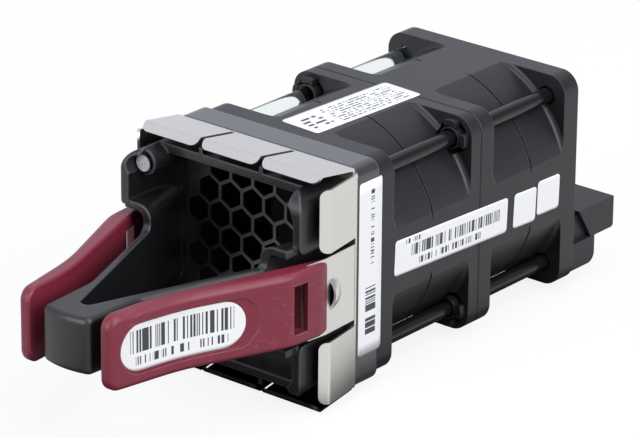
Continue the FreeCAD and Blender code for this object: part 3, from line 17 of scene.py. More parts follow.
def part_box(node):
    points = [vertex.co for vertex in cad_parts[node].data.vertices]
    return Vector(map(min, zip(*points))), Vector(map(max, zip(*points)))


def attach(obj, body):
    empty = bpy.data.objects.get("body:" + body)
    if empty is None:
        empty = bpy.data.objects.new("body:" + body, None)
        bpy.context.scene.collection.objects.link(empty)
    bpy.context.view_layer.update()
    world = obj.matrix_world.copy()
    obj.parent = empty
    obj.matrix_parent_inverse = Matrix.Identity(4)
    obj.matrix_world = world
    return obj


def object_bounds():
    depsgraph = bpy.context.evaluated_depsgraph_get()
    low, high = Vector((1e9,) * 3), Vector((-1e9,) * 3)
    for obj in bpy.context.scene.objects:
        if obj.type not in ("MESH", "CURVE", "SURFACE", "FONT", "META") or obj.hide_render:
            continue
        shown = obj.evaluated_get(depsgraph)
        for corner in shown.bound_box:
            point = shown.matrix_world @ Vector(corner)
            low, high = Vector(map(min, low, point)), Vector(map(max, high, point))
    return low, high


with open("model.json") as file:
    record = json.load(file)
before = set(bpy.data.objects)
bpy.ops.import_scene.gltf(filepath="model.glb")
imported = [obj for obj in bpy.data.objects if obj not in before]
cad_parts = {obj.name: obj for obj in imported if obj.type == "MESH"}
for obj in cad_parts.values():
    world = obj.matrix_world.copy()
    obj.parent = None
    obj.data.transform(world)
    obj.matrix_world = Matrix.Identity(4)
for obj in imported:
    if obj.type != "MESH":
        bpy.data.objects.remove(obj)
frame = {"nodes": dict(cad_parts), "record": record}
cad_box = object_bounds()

MM = 0.001
nodes = frame["nodes"]
print(len(nodes), "solids loaded, box", [round(v / MM, 1) for corner in cad_box for v in corner])

# %% [markdown]
# Two helpers carry every finish. Colours are written as they are read off a swatch, in sRGB hex,
# and Blender's shaders want linear light, so one function converts them. The other adds a node,
# sets its options and fills its inputs; an input that is given another node's output is linked.
# An input goes by its name, or by its number where names repeat: a Mix node has two numbers to mix
# at 2 and 3 and two colours at 6 and 7, and gives the mixed number at 0 and the mixed colour at 2.

# %% Colour and node helpers
NUMBER_A, NUMBER_B, NUMBER_OUT = 2, 3, 0
COLOUR_A, COLOUR_B, COLOUR_OUT = 6, 7, 2


def paint(swatch):
    """Linear RGBA of an sRGB hex swatch: c/12.92 below 0.04045, else ((c + 0.055)/1.055)^2.4."""
    srgb = np.array([int(swatch[i:i + 2], 16) for i in (1, 3, 5)]) / 255
    linear = np.where(srgb <= 0.04045, srgb / 12.92, ((srgb + 0.055) / 1.055) ** 2.4)
    return (*linear.tolist(), 1.0)


def add(tree, kind, inputs=(), **options):
    """One shader node with its options, and its inputs by name or number."""
    node = tree.nodes.new("ShaderNode" + kind)
    for option, value in options.items():
        setattr(node, option, value)
    for key, value in dict(inputs).items():
        if isinstance(value, bpy.types.NodeSocket):
            tree.links.new(value, node.inputs[key])
        else:
            node.inputs[key].default_value = value
    return node


print("white in linear light:", paint("#ffffff"))

# %% [markdown]
# Every finish starts from an empty node tree. The patterns read the object's own coordinates: each
# solid sits at the origin with its place in its mesh, so a pattern has one real size on all of them
# and moves with the piece when a lever or a rotor turns.

# %% Start of a finish


def new_finish(name):
    """Empty material with its node tree and the object's own coordinates."""
    material = bpy.data.materials.new(name)
    material.use_nodes = True
    tree = material.node_tree
    tree.nodes.clear()
    place = add(tree, "TexCoord").outputs["Object"]
    return material, tree, place


finishes = {}

# %% [markdown]
# Most of the module is moulded plastic, and its edges get handled most. Their lighter shade is part
# wear and part painted highlight, standing in for the light that rounded edges catch. A mask for that
# could be painted by hand; here the shader finds the edges by itself, so it fits every solid. The
# Bevel node's rounded normal turns away from the face's own normal only within the edge radius, and
# that difference picks out the edge. Parts that are pulled and slid also carry fine scuffs along the
# pull, in patches, drawn a little wider than real ones so that they show. Only what stands in the open
# gets the lighter shade, so the share of open sky over the surface, from the Ambient Occlusion node,
# thins the wear and the painted highlight inside the duct and behind the levers, where shade falls.

# %% Edges with wear and painted highlight, and scuffs
PROBES = 4
EDGE_COSINE = 0.75
EDGE_SHARE = 0.8
OPEN_MM = 8.0
OPEN_SKY = (0.45, 0.85)
SCUFF_MM = (0.45, 4.0)
SCUFF_NOISE = (0.55, 0.80)
PATCH_NOISE = (0.45, 0.62)


def edge_wear_and_highlight_share(tree, place, cloud, rounded, scuffs):
    """Share of the lighter edge shade, part wear and part painted highlight: the larger of the edge
    mask (the dot product of rounded and own normal, falling from 1 to EDGE_COSINE) and scuffs (a noise
    squeezed across the pull and stretched along it, times a ramp of the cloud noise), and that times a
    ramp of the open sky, so that it fades where shade falls."""
    face = add(tree, "NewGeometry").outputs["Normal"]
    same = add(tree, "VectorMath", {0: rounded, 1: face}, operation="DOT_PRODUCT")
    edges = add(tree, "MapRange", {
        "Value": same.outputs["Value"], "From Min": 1.0, "From Max": EDGE_COSINE,
        "To Min": 0.0, "To Max": EDGE_SHARE})
    across, along = (1 / (size * MM) for size in SCUFF_MM)
    pull = add(tree, "Mapping", {"Vector": place, "Scale": (across, along, across)})
    streak = add(tree, "TexNoise", {"Vector": pull.outputs["Vector"], "Scale": 1.0, "Detail": 4.0})
    streak = add(tree, "MapRange", {
        "Value": streak.outputs["Fac"], "From Min": SCUFF_NOISE[0], "From Max": SCUFF_NOISE[1]})
    patches = add(tree, "MapRange", {
        "Value": cloud, "From Min": PATCH_NOISE[0], "From Max": PATCH_NOISE[1], "To Max": scuffs})
    marks = add(
        tree, "Math", {0: streak.outputs["Result"], 1: patches.outputs["Result"]}, operation="MULTIPLY")
    wear_or_highlight = add(tree, "Math", {0: edges.outputs["Result"], 1: marks.outputs[0]}, operation="MAXIMUM")
    sky = add(tree, "AmbientOcclusion", {"Distance": OPEN_MM * MM}, samples=PROBES)
    reach = add(tree, "MapRange", {
        "Value": sky.outputs["AO"], "From Min": OPEN_SKY[0], "From Max": OPEN_SKY[1]})
    share = add(tree, "Math", {0: wear_or_highlight.outputs[0], 1: reach.outputs["Result"]}, operation="MULTIPLY")
    return share.outputs[0]


print("scuffs are", SCUFF_MM[0], "mm wide and", SCUFF_MM[1], "mm long")

# %% [markdown]
# A mould that was spark-eroded leaves a fine, even grain, which breaks up the highlights; the colour
# itself wanders a little where the glass fibres lie nearer the skin. One recipe covers all mouldings:
# a slow noise mixes two shades, a fine noise gives the grain as bump, and the same fine noise moves
# the roughness. The grain of a real tool is about 0.05 mm; at this picture size that would vanish, so
# it is drawn several times coarser.

# %% Recipe for moulded plastic
CLOUD_MM = 9.0
ROUGHNESS_DRIFT = 0.15
PLASTIC_IOR = 1.5
COAT_ROUGHNESS = 0.08


def moulded(
        name, dark, light, edge_wear_and_highlight, roughness, grain_mm, depth_mm,
        specular=0.5, coat=0.0, edge_mm=0.15, scuffs=0.0):
    """Two-shade plastic: cloud noise picks the shade between dark and light, grain noise gives the
    bump and moves the roughness by ROUGHNESS_DRIFT, and the lighter edge shade, part wear and part
    painted highlight, lies over it by its share."""
    material, tree, place = new_finish(name)
    cloud = add(tree, "TexNoise", {"Vector": place, "Scale": 1 / (CLOUD_MM * MM), "Detail": 3.0})
    cloud = cloud.outputs["Fac"]
    grain = add(tree, "TexNoise", {"Vector": place, "Scale": 1 / (grain_mm * MM), "Detail": 2.0})
    grain = grain.outputs["Fac"]
    rounded = add(tree, "Bevel", {"Radius": edge_mm * MM}, samples=PROBES).outputs["Normal"]
    shade = add(
        tree, "Mix", {0: cloud, COLOUR_A: paint(dark), COLOUR_B: paint(light)}, data_type="RGBA")
    # Lighter edge shade over the colour: part wear, part painted highlight on the edges.
    shade = add(tree, "Mix", {
        0: edge_wear_and_highlight_share(tree, place, cloud, rounded, scuffs),
        COLOUR_A: shade.outputs[COLOUR_OUT], COLOUR_B: paint(edge_wear_and_highlight)}, data_type="RGBA")
    gloss = add(tree, "MapRange", {
        "Value": grain, "To Min": roughness * (1 - ROUGHNESS_DRIFT),
        "To Max": roughness * (1 + ROUGHNESS_DRIFT)})
    bump = add(tree, "Bump", {
        "Height": grain, "Distance": depth_mm * MM, "Strength": 1.0, "Normal": rounded})
    shader = add(tree, "BsdfPrincipled", {
        "Base Color": shade.outputs[COLOUR_OUT], "Roughness": gloss.outputs["Result"],
        "Normal": bump.outputs["Normal"], "IOR": PLASTIC_IOR, "Specular IOR Level": specular,
        "Coat Weight": coat, "Coat Roughness": COAT_ROUGHNESS})
    add(tree, "OutputMaterial", {"Surface": shader.outputs["BSDF"]})
    return material


print("colour drifts over", CLOUD_MM, "mm, roughness by", ROUGHNESS_DRIFT)

# %% [markdown]
# The fan housings are glass-filled PBT, black with a matte, slightly grey skin. The bezel is the
# same family from a smoother tool; its rim is a separate ring from a polished tool, so it mirrors
# the studio. The rods are extruded nylon, and the impellers are hidden in shade and share the matte
# grain. All differ only in values, so the one recipe makes them.

# %% Black mouldings
# Glass-filled PBT from an eroded tool: deep black under a soft grey sheen, scuffed, with pale edges
# that are part wear and part painted highlight.
finishes["housing_black"] = moulded(
    "pbt_matte_black", "#18191c", "#202124", "#55565b", roughness=0.36, grain_mm=0.35, depth_mm=0.008,
    specular=0.36, edge_mm=0.22, scuffs=0.25)
# PBT from a smoother tool: a darker black with tighter highlights and broad pale edges, part wear
# and part painted highlight.
finishes["bezel_black"] = moulded(
    "pbt_satin_black", "#121214", "#17171a", "#66686d", roughness=0.34, grain_mm=0.30, depth_mm=0.005,
    specular=0.52, edge_mm=0.60, scuffs=0.20)
# Polycarbonate from a polished tool: a grey that mirrors the room, with a bright line on its edges,
# part wear and part painted highlight.
finishes["rim_gloss"] = moulded(
    "pc_polished_grey", "#2a2b2f", "#323338", "#8a8c92", roughness=0.18, grain_mm=0.60, depth_mm=0.002,
    coat=0.6, edge_mm=0.25)
# Extruded nylon: a glossy black whose highlight runs as one thin line along the rod.
finishes["rod_black"] = moulded(
    "nylon_gloss_black", "#0e0e10", "#141416", "#2a2a2c", roughness=0.18, grain_mm=0.50, depth_mm=0.002,
    specular=0.40)
# PBT blades in the shade of the screen: a dull black that hardly shines.
finishes["impeller_black"] = moulded(
    "pbt_impeller_black", "#161617", "#1c1c1e", "#2c2c2e", roughness=0.45, grain_mm=0.35,
    depth_mm=0.006, specular=0.30)
# Nylon from a coarse tool: the plug looks dusty, a shade greyer than the housing.
finishes["plug_black"] = moulded(
    "nylon_plug_black", "#232326", "#2b2b2f", "#404045", roughness=0.48, grain_mm=0.35, depth_mm=0.008,
    specular=0.32)
print("black mouldings:", [finishes[key].name for key in finishes])

# %% [markdown]
# The squeeze levers are burgundy ABS, a coloured plastic with a satin tool finish. The pigment makes
# the shade vary less than in the black parts. Fingers rub the levers, so they carry the most scuffs.

# %% Burgundy levers
# Pigmented ABS, satin: a full wine red with soft, pinkish highlights, and pinkish edges that are part
# wear and part painted highlight.
finishes["lever_burgundy"] = moulded(
    "abs_satin_burgundy", "#6f2133", "#772738", "#b07380", roughness=0.38, grain_mm=0.30,
    depth_mm=0.005, specular=0.40, edge_mm=0.30, scuffs=0.35)
print("levers:", finishes["lever_burgundy"].name)

# %% [markdown]
# Sheet metal comes off a roll with faint parallel lines, and a ground or turned piece has its lines
# round the axis. An anisotropic shader could suggest them; a noise that is squeezed along one axis
# draws them one by one: long in the working direction, fine across it. Real lines are finer than a
# point of the picture, so they are drawn several times coarser. They shift shade and roughness a
# little and give a trace of bump.

# %% Recipe for rolled and ground metal
LINE_DRIFT = 0.06


def metal(name, dark, light, roughness, line_mm, run_mm, depth_mm=0.001):
    """Metal with working lines: a noise of run_mm along Y and line_mm across mixes dark and light,
    moves the roughness by LINE_DRIFT and gives the bump."""
    material, tree, place = new_finish(name)
    across, along = 1 / (line_mm * MM), 1 / (run_mm * MM)
    worked = add(tree, "Mapping", {"Vector": place, "Scale": (across, along, across)})
    lines = add(tree, "TexNoise", {"Vector": worked.outputs["Vector"], "Scale": 1.0, "Detail": 3.0})
    lines = lines.outputs["Fac"]
    shade = add(
        tree, "Mix", {0: lines, COLOUR_A: paint(dark), COLOUR_B: paint(light)}, data_type="RGBA")
    gloss = add(tree, "MapRange", {
        "Value": lines, "To Min": roughness * (1 - LINE_DRIFT), "To Max": roughness * (1 + LINE_DRIFT)})
    bump = add(tree, "Bump", {"Height": lines, "Distance": depth_mm * MM})
    shader = add(tree, "BsdfPrincipled", {
        "Base Color": shade.outputs[COLOUR_OUT], "Metallic": 1.0, "Roughness": gloss.outputs["Result"],
        "Normal": bump.outputs["Normal"]})
    add(tree, "OutputMaterial", {"Surface": shader.outputs["BSDF"]})
    return material


print("metal roughness drifts by", LINE_DRIFT)

# %% [markdown]
# The metals that show are sheet: spring fingers round the bezel that ground the module in its bay,
# with a near-black copy of their steel along the lower side as painted shade, and the honeycomb
# screen, left duller. Rolled sheet has long lines along the module, so run_mm is the larger value.

# %% Sheet metals
# Tin-plated spring steel: a pale satin mirror with faint lines.
finishes["finger_metal"] = metal(
    "spring_steel_tin_plated", "#cdccc8", "#d9d8d4", roughness=0.30, line_mm=0.25, run_mm=9.0)
# The spring steel painted nearly black as shade for the lower fingers, with a dull glint on the bends.
finishes["finger_painted_shade"] = metal(
    "spring_steel_painted_shade", "#1c1c1e", "#262628", roughness=0.45, line_mm=0.12, run_mm=3.0)
# Plain pierced steel: a mid grey that stays visible in the shade of the duct.
finishes["screen_steel"] = metal(
    "screen_steel_plain", "#6d6e71", "#7d7e81", roughness=0.40, line_mm=0.12, run_mm=2.0)
print("sheet metals:", [finishes[key].name for key in ("finger_metal", "finger_painted_shade", "screen_steel")])

# %% [markdown]
# The metals of the motors and of the plug are seen only when the part is taken apart. Drawn cups,
# clips and contacts have lines along the module. Ground and turned pieces, the stacked laminations
# and the wound wire have theirs round the axis, which is a run_mm far smaller than line_mm.

# %% Inner metals
# Drawn steel cup: an even, light grey satin.
finishes["yoke_steel"] = metal(
    "yoke_steel_drawn", "#9a9a98", "#adadab", roughness=0.35, line_mm=0.15, run_mm=4.0)
# Stacked sheets: a duller grey, striped by the edges of the laminations.
finishes["core_steel"] = metal(
    "lamination_steel", "#6e6f73", "#84858a", roughness=0.45, line_mm=2.0, run_mm=0.35)
# Ground shaft: bright, with a narrow highlight.
finishes["shaft_steel"] = metal(
    "shaft_steel_ground", "#b4b4b4", "#c4c4c4", roughness=0.18, line_mm=2.0, run_mm=0.10)
# Ground bearing rings: bright, a touch darker than the shaft.
finishes["bearing_steel"] = metal(
    "bearing_steel_ground", "#a8a8a8", "#bcbcbc", roughness=0.20, line_mm=2.0, run_mm=0.10)
# Turned brass: warm yellow with fine tool rings.
finishes["brass_tube"] = metal(
    "brass_turned", "#b8893f", "#c99a4c", roughness=0.28, line_mm=2.0, run_mm=0.12)
# Enamelled copper: red-brown, ribbed by its turns, so its bump is deep.
finishes["copper_wire"] = metal(
    "copper_enamelled", "#a8572c", "#bd6a39", roughness=0.30, line_mm=2.0, run_mm=0.30, depth_mm=0.05)
# Hard spring steel of clips and washers: grey with a sharper shine.
finishes["spring_steel"] = metal(
    "clip_spring_steel", "#8f9092", "#a2a3a4", roughness=0.32, line_mm=0.15, run_mm=1.0)
# Gold flash on the contacts: a clean, pale yellow shine.
finishes["contact_gold"] = metal(
    "gold_flash_contact", "#c8a24c", "#d6b45f", roughness=0.22, line_mm=0.2, run_mm=1.0)
print("finishes so far:", len(finishes))

# %% [markdown]
# What is left inside: the sintered ferrite of the ring magnets, the nylon of the winding bobbins and
# the green solder mask of the circuit boards. To the shader they are plastics or ceramics, so the
# recipe for mouldings serves again, with their own grain.

# %% Inner parts
# Sintered ferrite: charcoal, dry and rough.
finishes["ferrite"] = moulded(
    "ferrite_sintered", "#3b3b3d", "#4a4a4d", "#5a5a5d", roughness=0.60, grain_mm=0.40, depth_mm=0.012)
# Natural nylon: ivory with a soft sheen.
finishes["bobbin_nylon"] = moulded(
    "nylon_natural", "#cfccbf", "#dad7cb", "#e2e0d6", roughness=0.45, grain_mm=0.40, depth_mm=0.005)
# Solder mask: a smooth lacquered green, slightly wavy.
finishes["board_green"] = moulded(
    "solder_mask_green", "#1d5a31", "#24683a", "#3a7a4e", roughness=0.30, grain_mm=1.20, depth_mm=0.004)
print("finishes so far:", len(finishes))

# %% [markdown]
# The light pipe is one clear acrylic rod. Real acrylic takes its look from refraction, so the shader
# transmits. With acrylic's own IOR of 1.49 a plain round rod mirrors the dark barrel in half of its
# width; the real one stays bright nearly all across, and 1.25 gives that look. The front lens is
# moulded with a frosted spot on its end that spreads the light: there the surface turns rough, and a
# good part of the light scatters back white instead of passing through, a little less in the pits of
# the frosting. The pits are drawn coarser than real ones, so that they show. A slow noise lets the
# roughness drift like the flow marks of a moulding.

# %% Clear rod
near, far = (np.array(corner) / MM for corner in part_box("light_pipe"))
AXIS = (near + far) / 2 * (1, 0, 1)
LENS_Y, LENS_FADE = near[1] + 0.06, 0.04
SPOT, SPOT_FADE = 1.5, 0.05


def frosted_spot(tree, place):
    """Mask of the spot: 1 where Y is ahead of LENS_Y and the distance sqrt(x^2 + z^2) from the rod's
    axis is under SPOT, with a short fade at both limits."""
    station = add(tree, "SeparateXYZ", {0: place}).outputs["Y"]
    ahead = add(tree, "MapRange", {
        "Value": station, "From Min": (LENS_Y + LENS_FADE) * MM, "From Max": (LENS_Y - LENS_FADE) * MM})
    aside = add(tree, "VectorMath", {0: place, 1: -AXIS * MM}, operation="ADD")
    aside = add(tree, "VectorMath", {0: aside.outputs[0], 1: (1, 0, 1)}, operation="MULTIPLY")
    aside = add(tree, "VectorMath", {0: aside.outputs[0]}, operation="LENGTH")
    middle = add(tree, "MapRange", {
        "Value": aside.outputs["Value"],
        "From Min": (SPOT + SPOT_FADE) * MM, "From Max": (SPOT - SPOT_FADE) * MM})
    spot = add(
        tree, "Math", {0: ahead.outputs["Result"], 1: middle.outputs["Result"]}, operation="MULTIPLY")
    return spot.outputs[0]


ROD_IOR = 1.25
ROD_TINT = "#f1f6f8"
FLOW_MM, FLOW_ROUGHNESS = 1.2, (0.05, 0.22)
PIT_MM, PIT_RANGE, PIT_SHADES = 0.35, (0.1, 0.5), ("#8d949b", "#dfe4ea")
FROST_ROUGHNESS, FROST_CLEAR = 0.42, 0.35


def clear_rod(name):
    """Acrylic: transmission falls from 1 to FROST_CLEAR in the frosted spot, roughness rises there
    from the flow marks to FROST_ROUGHNESS, and Voronoi pits of PIT_MM darken the frosting."""
    material, tree, place = new_finish(name)
    frost = frosted_spot(tree, place)
    pits = add(tree, "TexVoronoi", {"Vector": place, "Scale": 1 / (PIT_MM * MM)})
    pits = add(tree, "MapRange", {
        "Value": pits.outputs["Distance"], "From Min": PIT_RANGE[0], "From Max": PIT_RANGE[1]})
    milk = add(tree, "Mix", {
        0: pits.outputs["Result"], COLOUR_A: paint(PIT_SHADES[0]), COLOUR_B: paint(PIT_SHADES[1])},
        data_type="RGBA")
    flow = add(tree, "TexNoise", {"Vector": place, "Scale": 1 / (FLOW_MM * MM), "Detail": 2.0})
    gloss = add(tree, "MapRange", {
        "Value": flow.outputs["Fac"], "To Min": FLOW_ROUGHNESS[0], "To Max": FLOW_ROUGHNESS[1]})
    rough = add(
        tree, "Mix", {0: frost, NUMBER_A: gloss.outputs["Result"], NUMBER_B: FROST_ROUGHNESS},
        data_type="FLOAT")
    clear = add(tree, "MapRange", {"Value": frost, "To Min": 1.0, "To Max": FROST_CLEAR})
    tint = add(tree, "Mix", {
        0: frost, COLOUR_A: paint(ROD_TINT), COLOUR_B: milk.outputs[COLOUR_OUT]}, data_type="RGBA")
    shader = add(tree, "BsdfPrincipled", {
        "Base Color": tint.outputs[COLOUR_OUT], "Roughness": rough.outputs[NUMBER_OUT],
        "IOR": ROD_IOR, "Transmission Weight": clear.outputs["Result"]})
    add(tree, "OutputMaterial", {"Surface": shader.outputs["BSDF"]})
    return material


# Clear moulded acrylic: the eye sees the white room through it, and one milky spot at its end.
finishes["light_pipe_clear"] = clear_rod("acrylic_clear")
print("clear rod:", finishes["light_pipe_clear"].name, "with its lens at y =", round(LENS_Y, 2))

# %% [markdown]
# Every solid names its finish in the imported record, so a loop dresses them all. One departs from the
# record: the lower fingers get the near-black steel as painted shade, while the rest of the set is bright.

# %% Dress the solids
OTHER_FINISH = {"spring_fingers_bottom": "finger_painted_shade"}
for row in frame["record"]["subparts"]:
    finish = OTHER_FINISH.get(row["node"], row["material_slot"])
    for slot in nodes[row["node"]].material_slots:
        slot.material = finishes[finish]

# %% [markdown]
# The labels are paper stickers. Each is a sheet with rounded corners that follows what it is stuck
# to: flat along the sides of the housing, stepped over the seam of the rim, curved in the lever's
# dish. A flat sheet could be shrink-wrapped onto the solids; a formula is steadier, because it knows
# those faces. A sheet is a grid in two parameters, along and across, and a carry function takes the
# grid to the surface. The two parameters are kept on the mesh in millimetres, so that the print can
# be drawn at its real size.

# %% Sheet with rounded corners
SHEET = 0.06
LIFT = 0.08
STEPS_ALONG, STEPS_ACROSS = 49, 17


def sticker(name, length, width, corner, carry, body, material):
    """Rounded sheet: half width at a distance d from the middle is
    width/2 - corner + sqrt(corner^2 - max(|d| - length/2 + corner, 0)^2); carry gives its place.
    The steps along follow a sine, so they are closest at the rounded ends."""
    forth = np.sin(np.linspace(-np.pi / 2, np.pi / 2, STEPS_ALONG))
    aside = np.linspace(-1, 1, STEPS_ACROSS)
    along = (length / 2) * forth[:, None] * np.ones_like(aside)
    over = np.clip(np.abs(along) - (length / 2 - corner), 0, corner)
    across = (width / 2 - corner + np.sqrt(corner ** 2 - over ** 2)) * aside
    points = (np.stack(carry(along, across), axis=-1) * MM).reshape(-1, 3)
    number = np.arange(along.size).reshape(along.shape)
    faces = np.stack([number[:-1, :-1], number[1:, :-1], number[1:, 1:], number[:-1, 1:]], axis=-1)
    mesh = bpy.data.meshes.new(name)
    mesh.from_pydata(points.tolist(), [], faces.reshape(-1, 4).tolist())
    flat = np.stack([along, across, np.zeros_like(along)], axis=-1)
    grid = mesh.attributes.new("print_mm", "FLOAT_VECTOR", "POINT")
    grid.data.foreach_set("vector", flat.astype(np.float32).ravel())
    mesh.shade_smooth()
    piece = bpy.data.objects.new(name, mesh)
    bpy.context.scene.collection.objects.link(piece)
    piece.data.materials.append(material)
    wall = piece.modifiers.new("paper", "SOLIDIFY")
    wall.thickness = SHEET * MM
    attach(piece, body)
    print(name, "at", [round(v / MM, 1) for v in points.mean(axis=0)])


print("sheets are", SHEET, "mm thick on a grid of", STEPS_ALONG, "by", STEPS_ACROSS)

# %% [markdown]
# The print is generic: blocks of plain bars of mixed widths and rows of short dashes. It could be a
# picture on the sheet; drawn by nodes from the sheet's own millimetres it stays sharp from any
# distance. A block is a window on the sheet. In it a white-noise value, constant over one step along
# the print, is dark where it falls below a threshold; a row of dashes repeats that at a pitch across
# the print.

# %% Blocks of print
ROW_INK = 0.5
LETTER_INK = 0.7


def block(tree, axes, run, window, step, pitch=None, share=0.5, letter=None):
    """Print mask, a product of masks: inside the window (its two limits along run, then its two limits
    across), noise on floor(run / step) below share, with a pitch only in the first ROW_INK of each row,
    and with a letter only in the first LETTER_INK of each letter's width. run names the axis that the
    bars follow one another along."""
    rise = "Y" if run == "X" else "X"
    masks = []
    for axis, low, high in ((run, *window[:2]), (rise, *window[2:])):
        off = add(tree, "Math", {0: axes.outputs[axis], 1: (low + high) / 2}, operation="SUBTRACT")
        off = add(tree, "Math", {0: off.outputs[0]}, operation="ABSOLUTE")
        masks.append(add(tree, "Math", {0: off.outputs[0], 1: (high - low) / 2}, operation="LESS_THAN"))
    for axis, size, inked in ((rise, pitch, ROW_INK), (run, letter, LETTER_INK)):
        if size is not None:
            part = add(tree, "Math", {0: axes.outputs[axis], 1: size}, operation="FLOORED_MODULO")
            masks.append(add(tree, "Math", {0: part.outputs[0], 1: inked * size}, operation="LESS_THAN"))
    cell = add(tree, "Math", {0: axes.outputs[run], 1: step}, operation="SNAP").outputs[0]
    row = 0.0
    if pitch is not None:
        row = add(tree, "Math", {0: axes.outputs[rise], 1: pitch}, operation="SNAP").outputs[0]
    spot = add(tree, "CombineXYZ", {0: cell, 1: row})
    noise = add(tree, "TexWhiteNoise", {"Vector": spot.outputs[0]}, noise_dimensions="2D")
    ink = add(tree, "Math", {0: noise.outputs["Value"], 1: share}, operation="LESS_THAN")
    for mask in masks:
        ink = add(tree, "Math", {0: ink.outputs[0], 1: mask.outputs[0]}, operation="MULTIPLY")
    return ink.outputs[0]


print("a dash fills", ROW_INK, "of its row")

# %% [markdown]
# Label stock is coated white paper with a soft sheen. Its fibres show as a slight mottle, so a noise
# mixes two whites and gives a trace of bump. Real fibres are a tenth as wide as this noise; finer than
# that, they would not show. The blocks of print are laid over the paper one by one.

# %% Label paper
PAPER = ("#eaebee", "#f3f4f6")
PAPER_ROUGHNESS, PAPER_IOR = 0.45, 1.45
FIBRE_MM, FIBRE_DEPTH_MM = 0.4, 0.003
INK = "#37393d"
SMALL_PRINT = "#74777c"


def paper(name, *blocks):
    """Coated paper with the given print blocks, each an ink and a set of values for block()."""
    material, tree, place = new_finish(name)
    sheet = add(tree, "Attribute", attribute_name="print_mm").outputs["Vector"]
    axes = add(tree, "SeparateXYZ", {0: sheet})
    fibre = add(tree, "TexNoise", {"Vector": place, "Scale": 1 / (FIBRE_MM * MM), "Detail": 3.0})
    fibre = fibre.outputs["Fac"]
    shade = add(
        tree, "Mix", {0: fibre, COLOUR_A: paint(PAPER[0]), COLOUR_B: paint(PAPER[1])}, data_type="RGBA")
    for ink, values in blocks:
        shade = add(tree, "Mix", {
            0: block(tree, axes, **values), COLOUR_A: shade.outputs[COLOUR_OUT], COLOUR_B: paint(ink)},
            data_type="RGBA")
    bump = add(tree, "Bump", {"Height": fibre, "Distance": FIBRE_DEPTH_MM * MM})
    shader = add(tree, "BsdfPrincipled", {
        "Base Color": shade.outputs[COLOUR_OUT], "Roughness": PAPER_ROUGHNESS, "IOR": PAPER_IOR,
        "Normal": bump.outputs["Normal"]})
    add(tree, "OutputMaterial", {"Surface": shader.outputs["BSDF"]})
    return material


print("paper from", PAPER[0], "to", PAPER[1])

# %% [markdown]
# The barrel of the fan housing is cut flat along its four sides, level with the flanges, so the
# labels on the right side and on the top lie plane over the whole length. How far out that side is
# comes from the solid's own box. The labels were put on by hand and sit a little askew, so each has a
# tilt in degrees.

# %% Labels on the right side
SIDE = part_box("front_frame")[1][0] / MM
CORNER = 0.7
SQUARE = 6.4


def on_right(y, z, tilt):
    """Carries a sheet to the right side: along runs to the rear, across runs up, turned by tilt."""
    turn = math.radians(tilt)

    def carry(along, across):
        station = y + along * math.cos(turn) - across * math.sin(turn)
        height = z + along * math.sin(turn) + across * math.cos(turn)
        return np.full_like(along, SIDE + LIFT), station, height

    return carry


sticker(
    "side_label", length=31.5, width=6.45, corner=CORNER, carry=on_right(y=20.15, z=-0.12, tilt=-2.6),
    body="module", material=paper(
        "label_side_paper",
        (INK, dict(run="X", window=(-11.5, 13.5, -0.5, 1.6), step=0.19)),
        (INK, dict(run="X", window=(-9.0, 8.5, -2.4, -1.2), step=0.2, pitch=2.4, share=0.55, letter=0.95)),
        (INK, dict(run="X", window=(-13.5, -8.5, 1.9, 2.9), step=0.2, pitch=2.0, share=0.55, letter=0.95))))
sticker(
    "side_square_front", SQUARE, SQUARE, CORNER, on_right(y=40.97, z=-1.05, tilt=-3.0),
    "module", paper("label_square_paper"))
sticker(
    "side_square_rear", SQUARE, SQUARE, CORNER, on_right(y=47.85, z=-0.65, tilt=-2.0),
    "module", paper("label_square_paper_rear"))

# %% [markdown]
# The top label lies the same way on the top of the front half. Its print is smaller and greyer, and a
# few larger marks stand at its front end.

# %% Label on the top


def on_top(x, y, tilt):
    """Carries a sheet to the top: along runs to the rear, across runs to the left, turned by tilt."""
    turn = math.radians(tilt)

    def carry(along, across):
        station = y + along * math.cos(turn) + across * math.sin(turn)
        aside = x + along * math.sin(turn) - across * math.cos(turn)
        return aside, station, np.full_like(along, SIDE + LIFT)

    return carry


sticker(
    "top_label", length=26.5, width=8.7, corner=CORNER, carry=on_top(x=0.6, y=16.25, tilt=3.4),
    body="module", material=paper(
        "label_top_paper",
        (INK, dict(run="X", window=(-11.8, -7.0, -2.6, 2.6), step=0.5, pitch=1.3, share=0.5)),
        (SMALL_PRINT, dict(run="X", window=(-5.5, 11.8, -3.4, 3.4), step=0.34, pitch=0.85, share=0.6))))

# %% [markdown]
# The strip on the rim crosses the seam to the front flange, which stands 0.2 mm lower. The sheet
# bridges that step in a short ramp, as stiff paper does.

# %% Strip across the rim's seam
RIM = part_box("bezel_rim")[1][0] / MM
STRIP_Y, STRIP_Z = -2.43, 1.55
RAMP_START, RAMP_RUN = -0.3, 0.7


def on_rim(along, across):
    """X falls from RIM to SIDE in a smooth step, f^2 (3 - 2 f), around the seam at y = 0."""
    station = STRIP_Y + along
    fall = np.clip((station - RAMP_START) / RAMP_RUN, 0, 1)
    fall = fall * fall * (3 - 2 * fall)
    return RIM + (SIDE - RIM) * fall + LIFT, station, STRIP_Z + across


sticker(
    "rim_strip", length=6.25, width=31.5, corner=0.6, carry=on_rim, body="module", material=paper(
        "label_rim_paper",
        (INK, dict(run="Y", window=(-12.2, -3.2, -1.3, 1.4), step=0.2)),
        (INK, dict(run="Y", window=(0.5, 14.5, -0.9, 0.9), step=0.22, pitch=3.6, share=0.5, letter=1.1))))

# %% [markdown]
# The right lever carries an oval sheet in its finger dish. The dish floor follows the lever's outer
# face: two straight runs that meet in a wide bend. A parabola replaces the corner between them. At
# its rear end the dish runs out in a short ramp, and the sheet climbs it a little. The values repeat
# the sizes of the solid. The sheet rides on the lever's body, so it moves when the lever is squeezed.

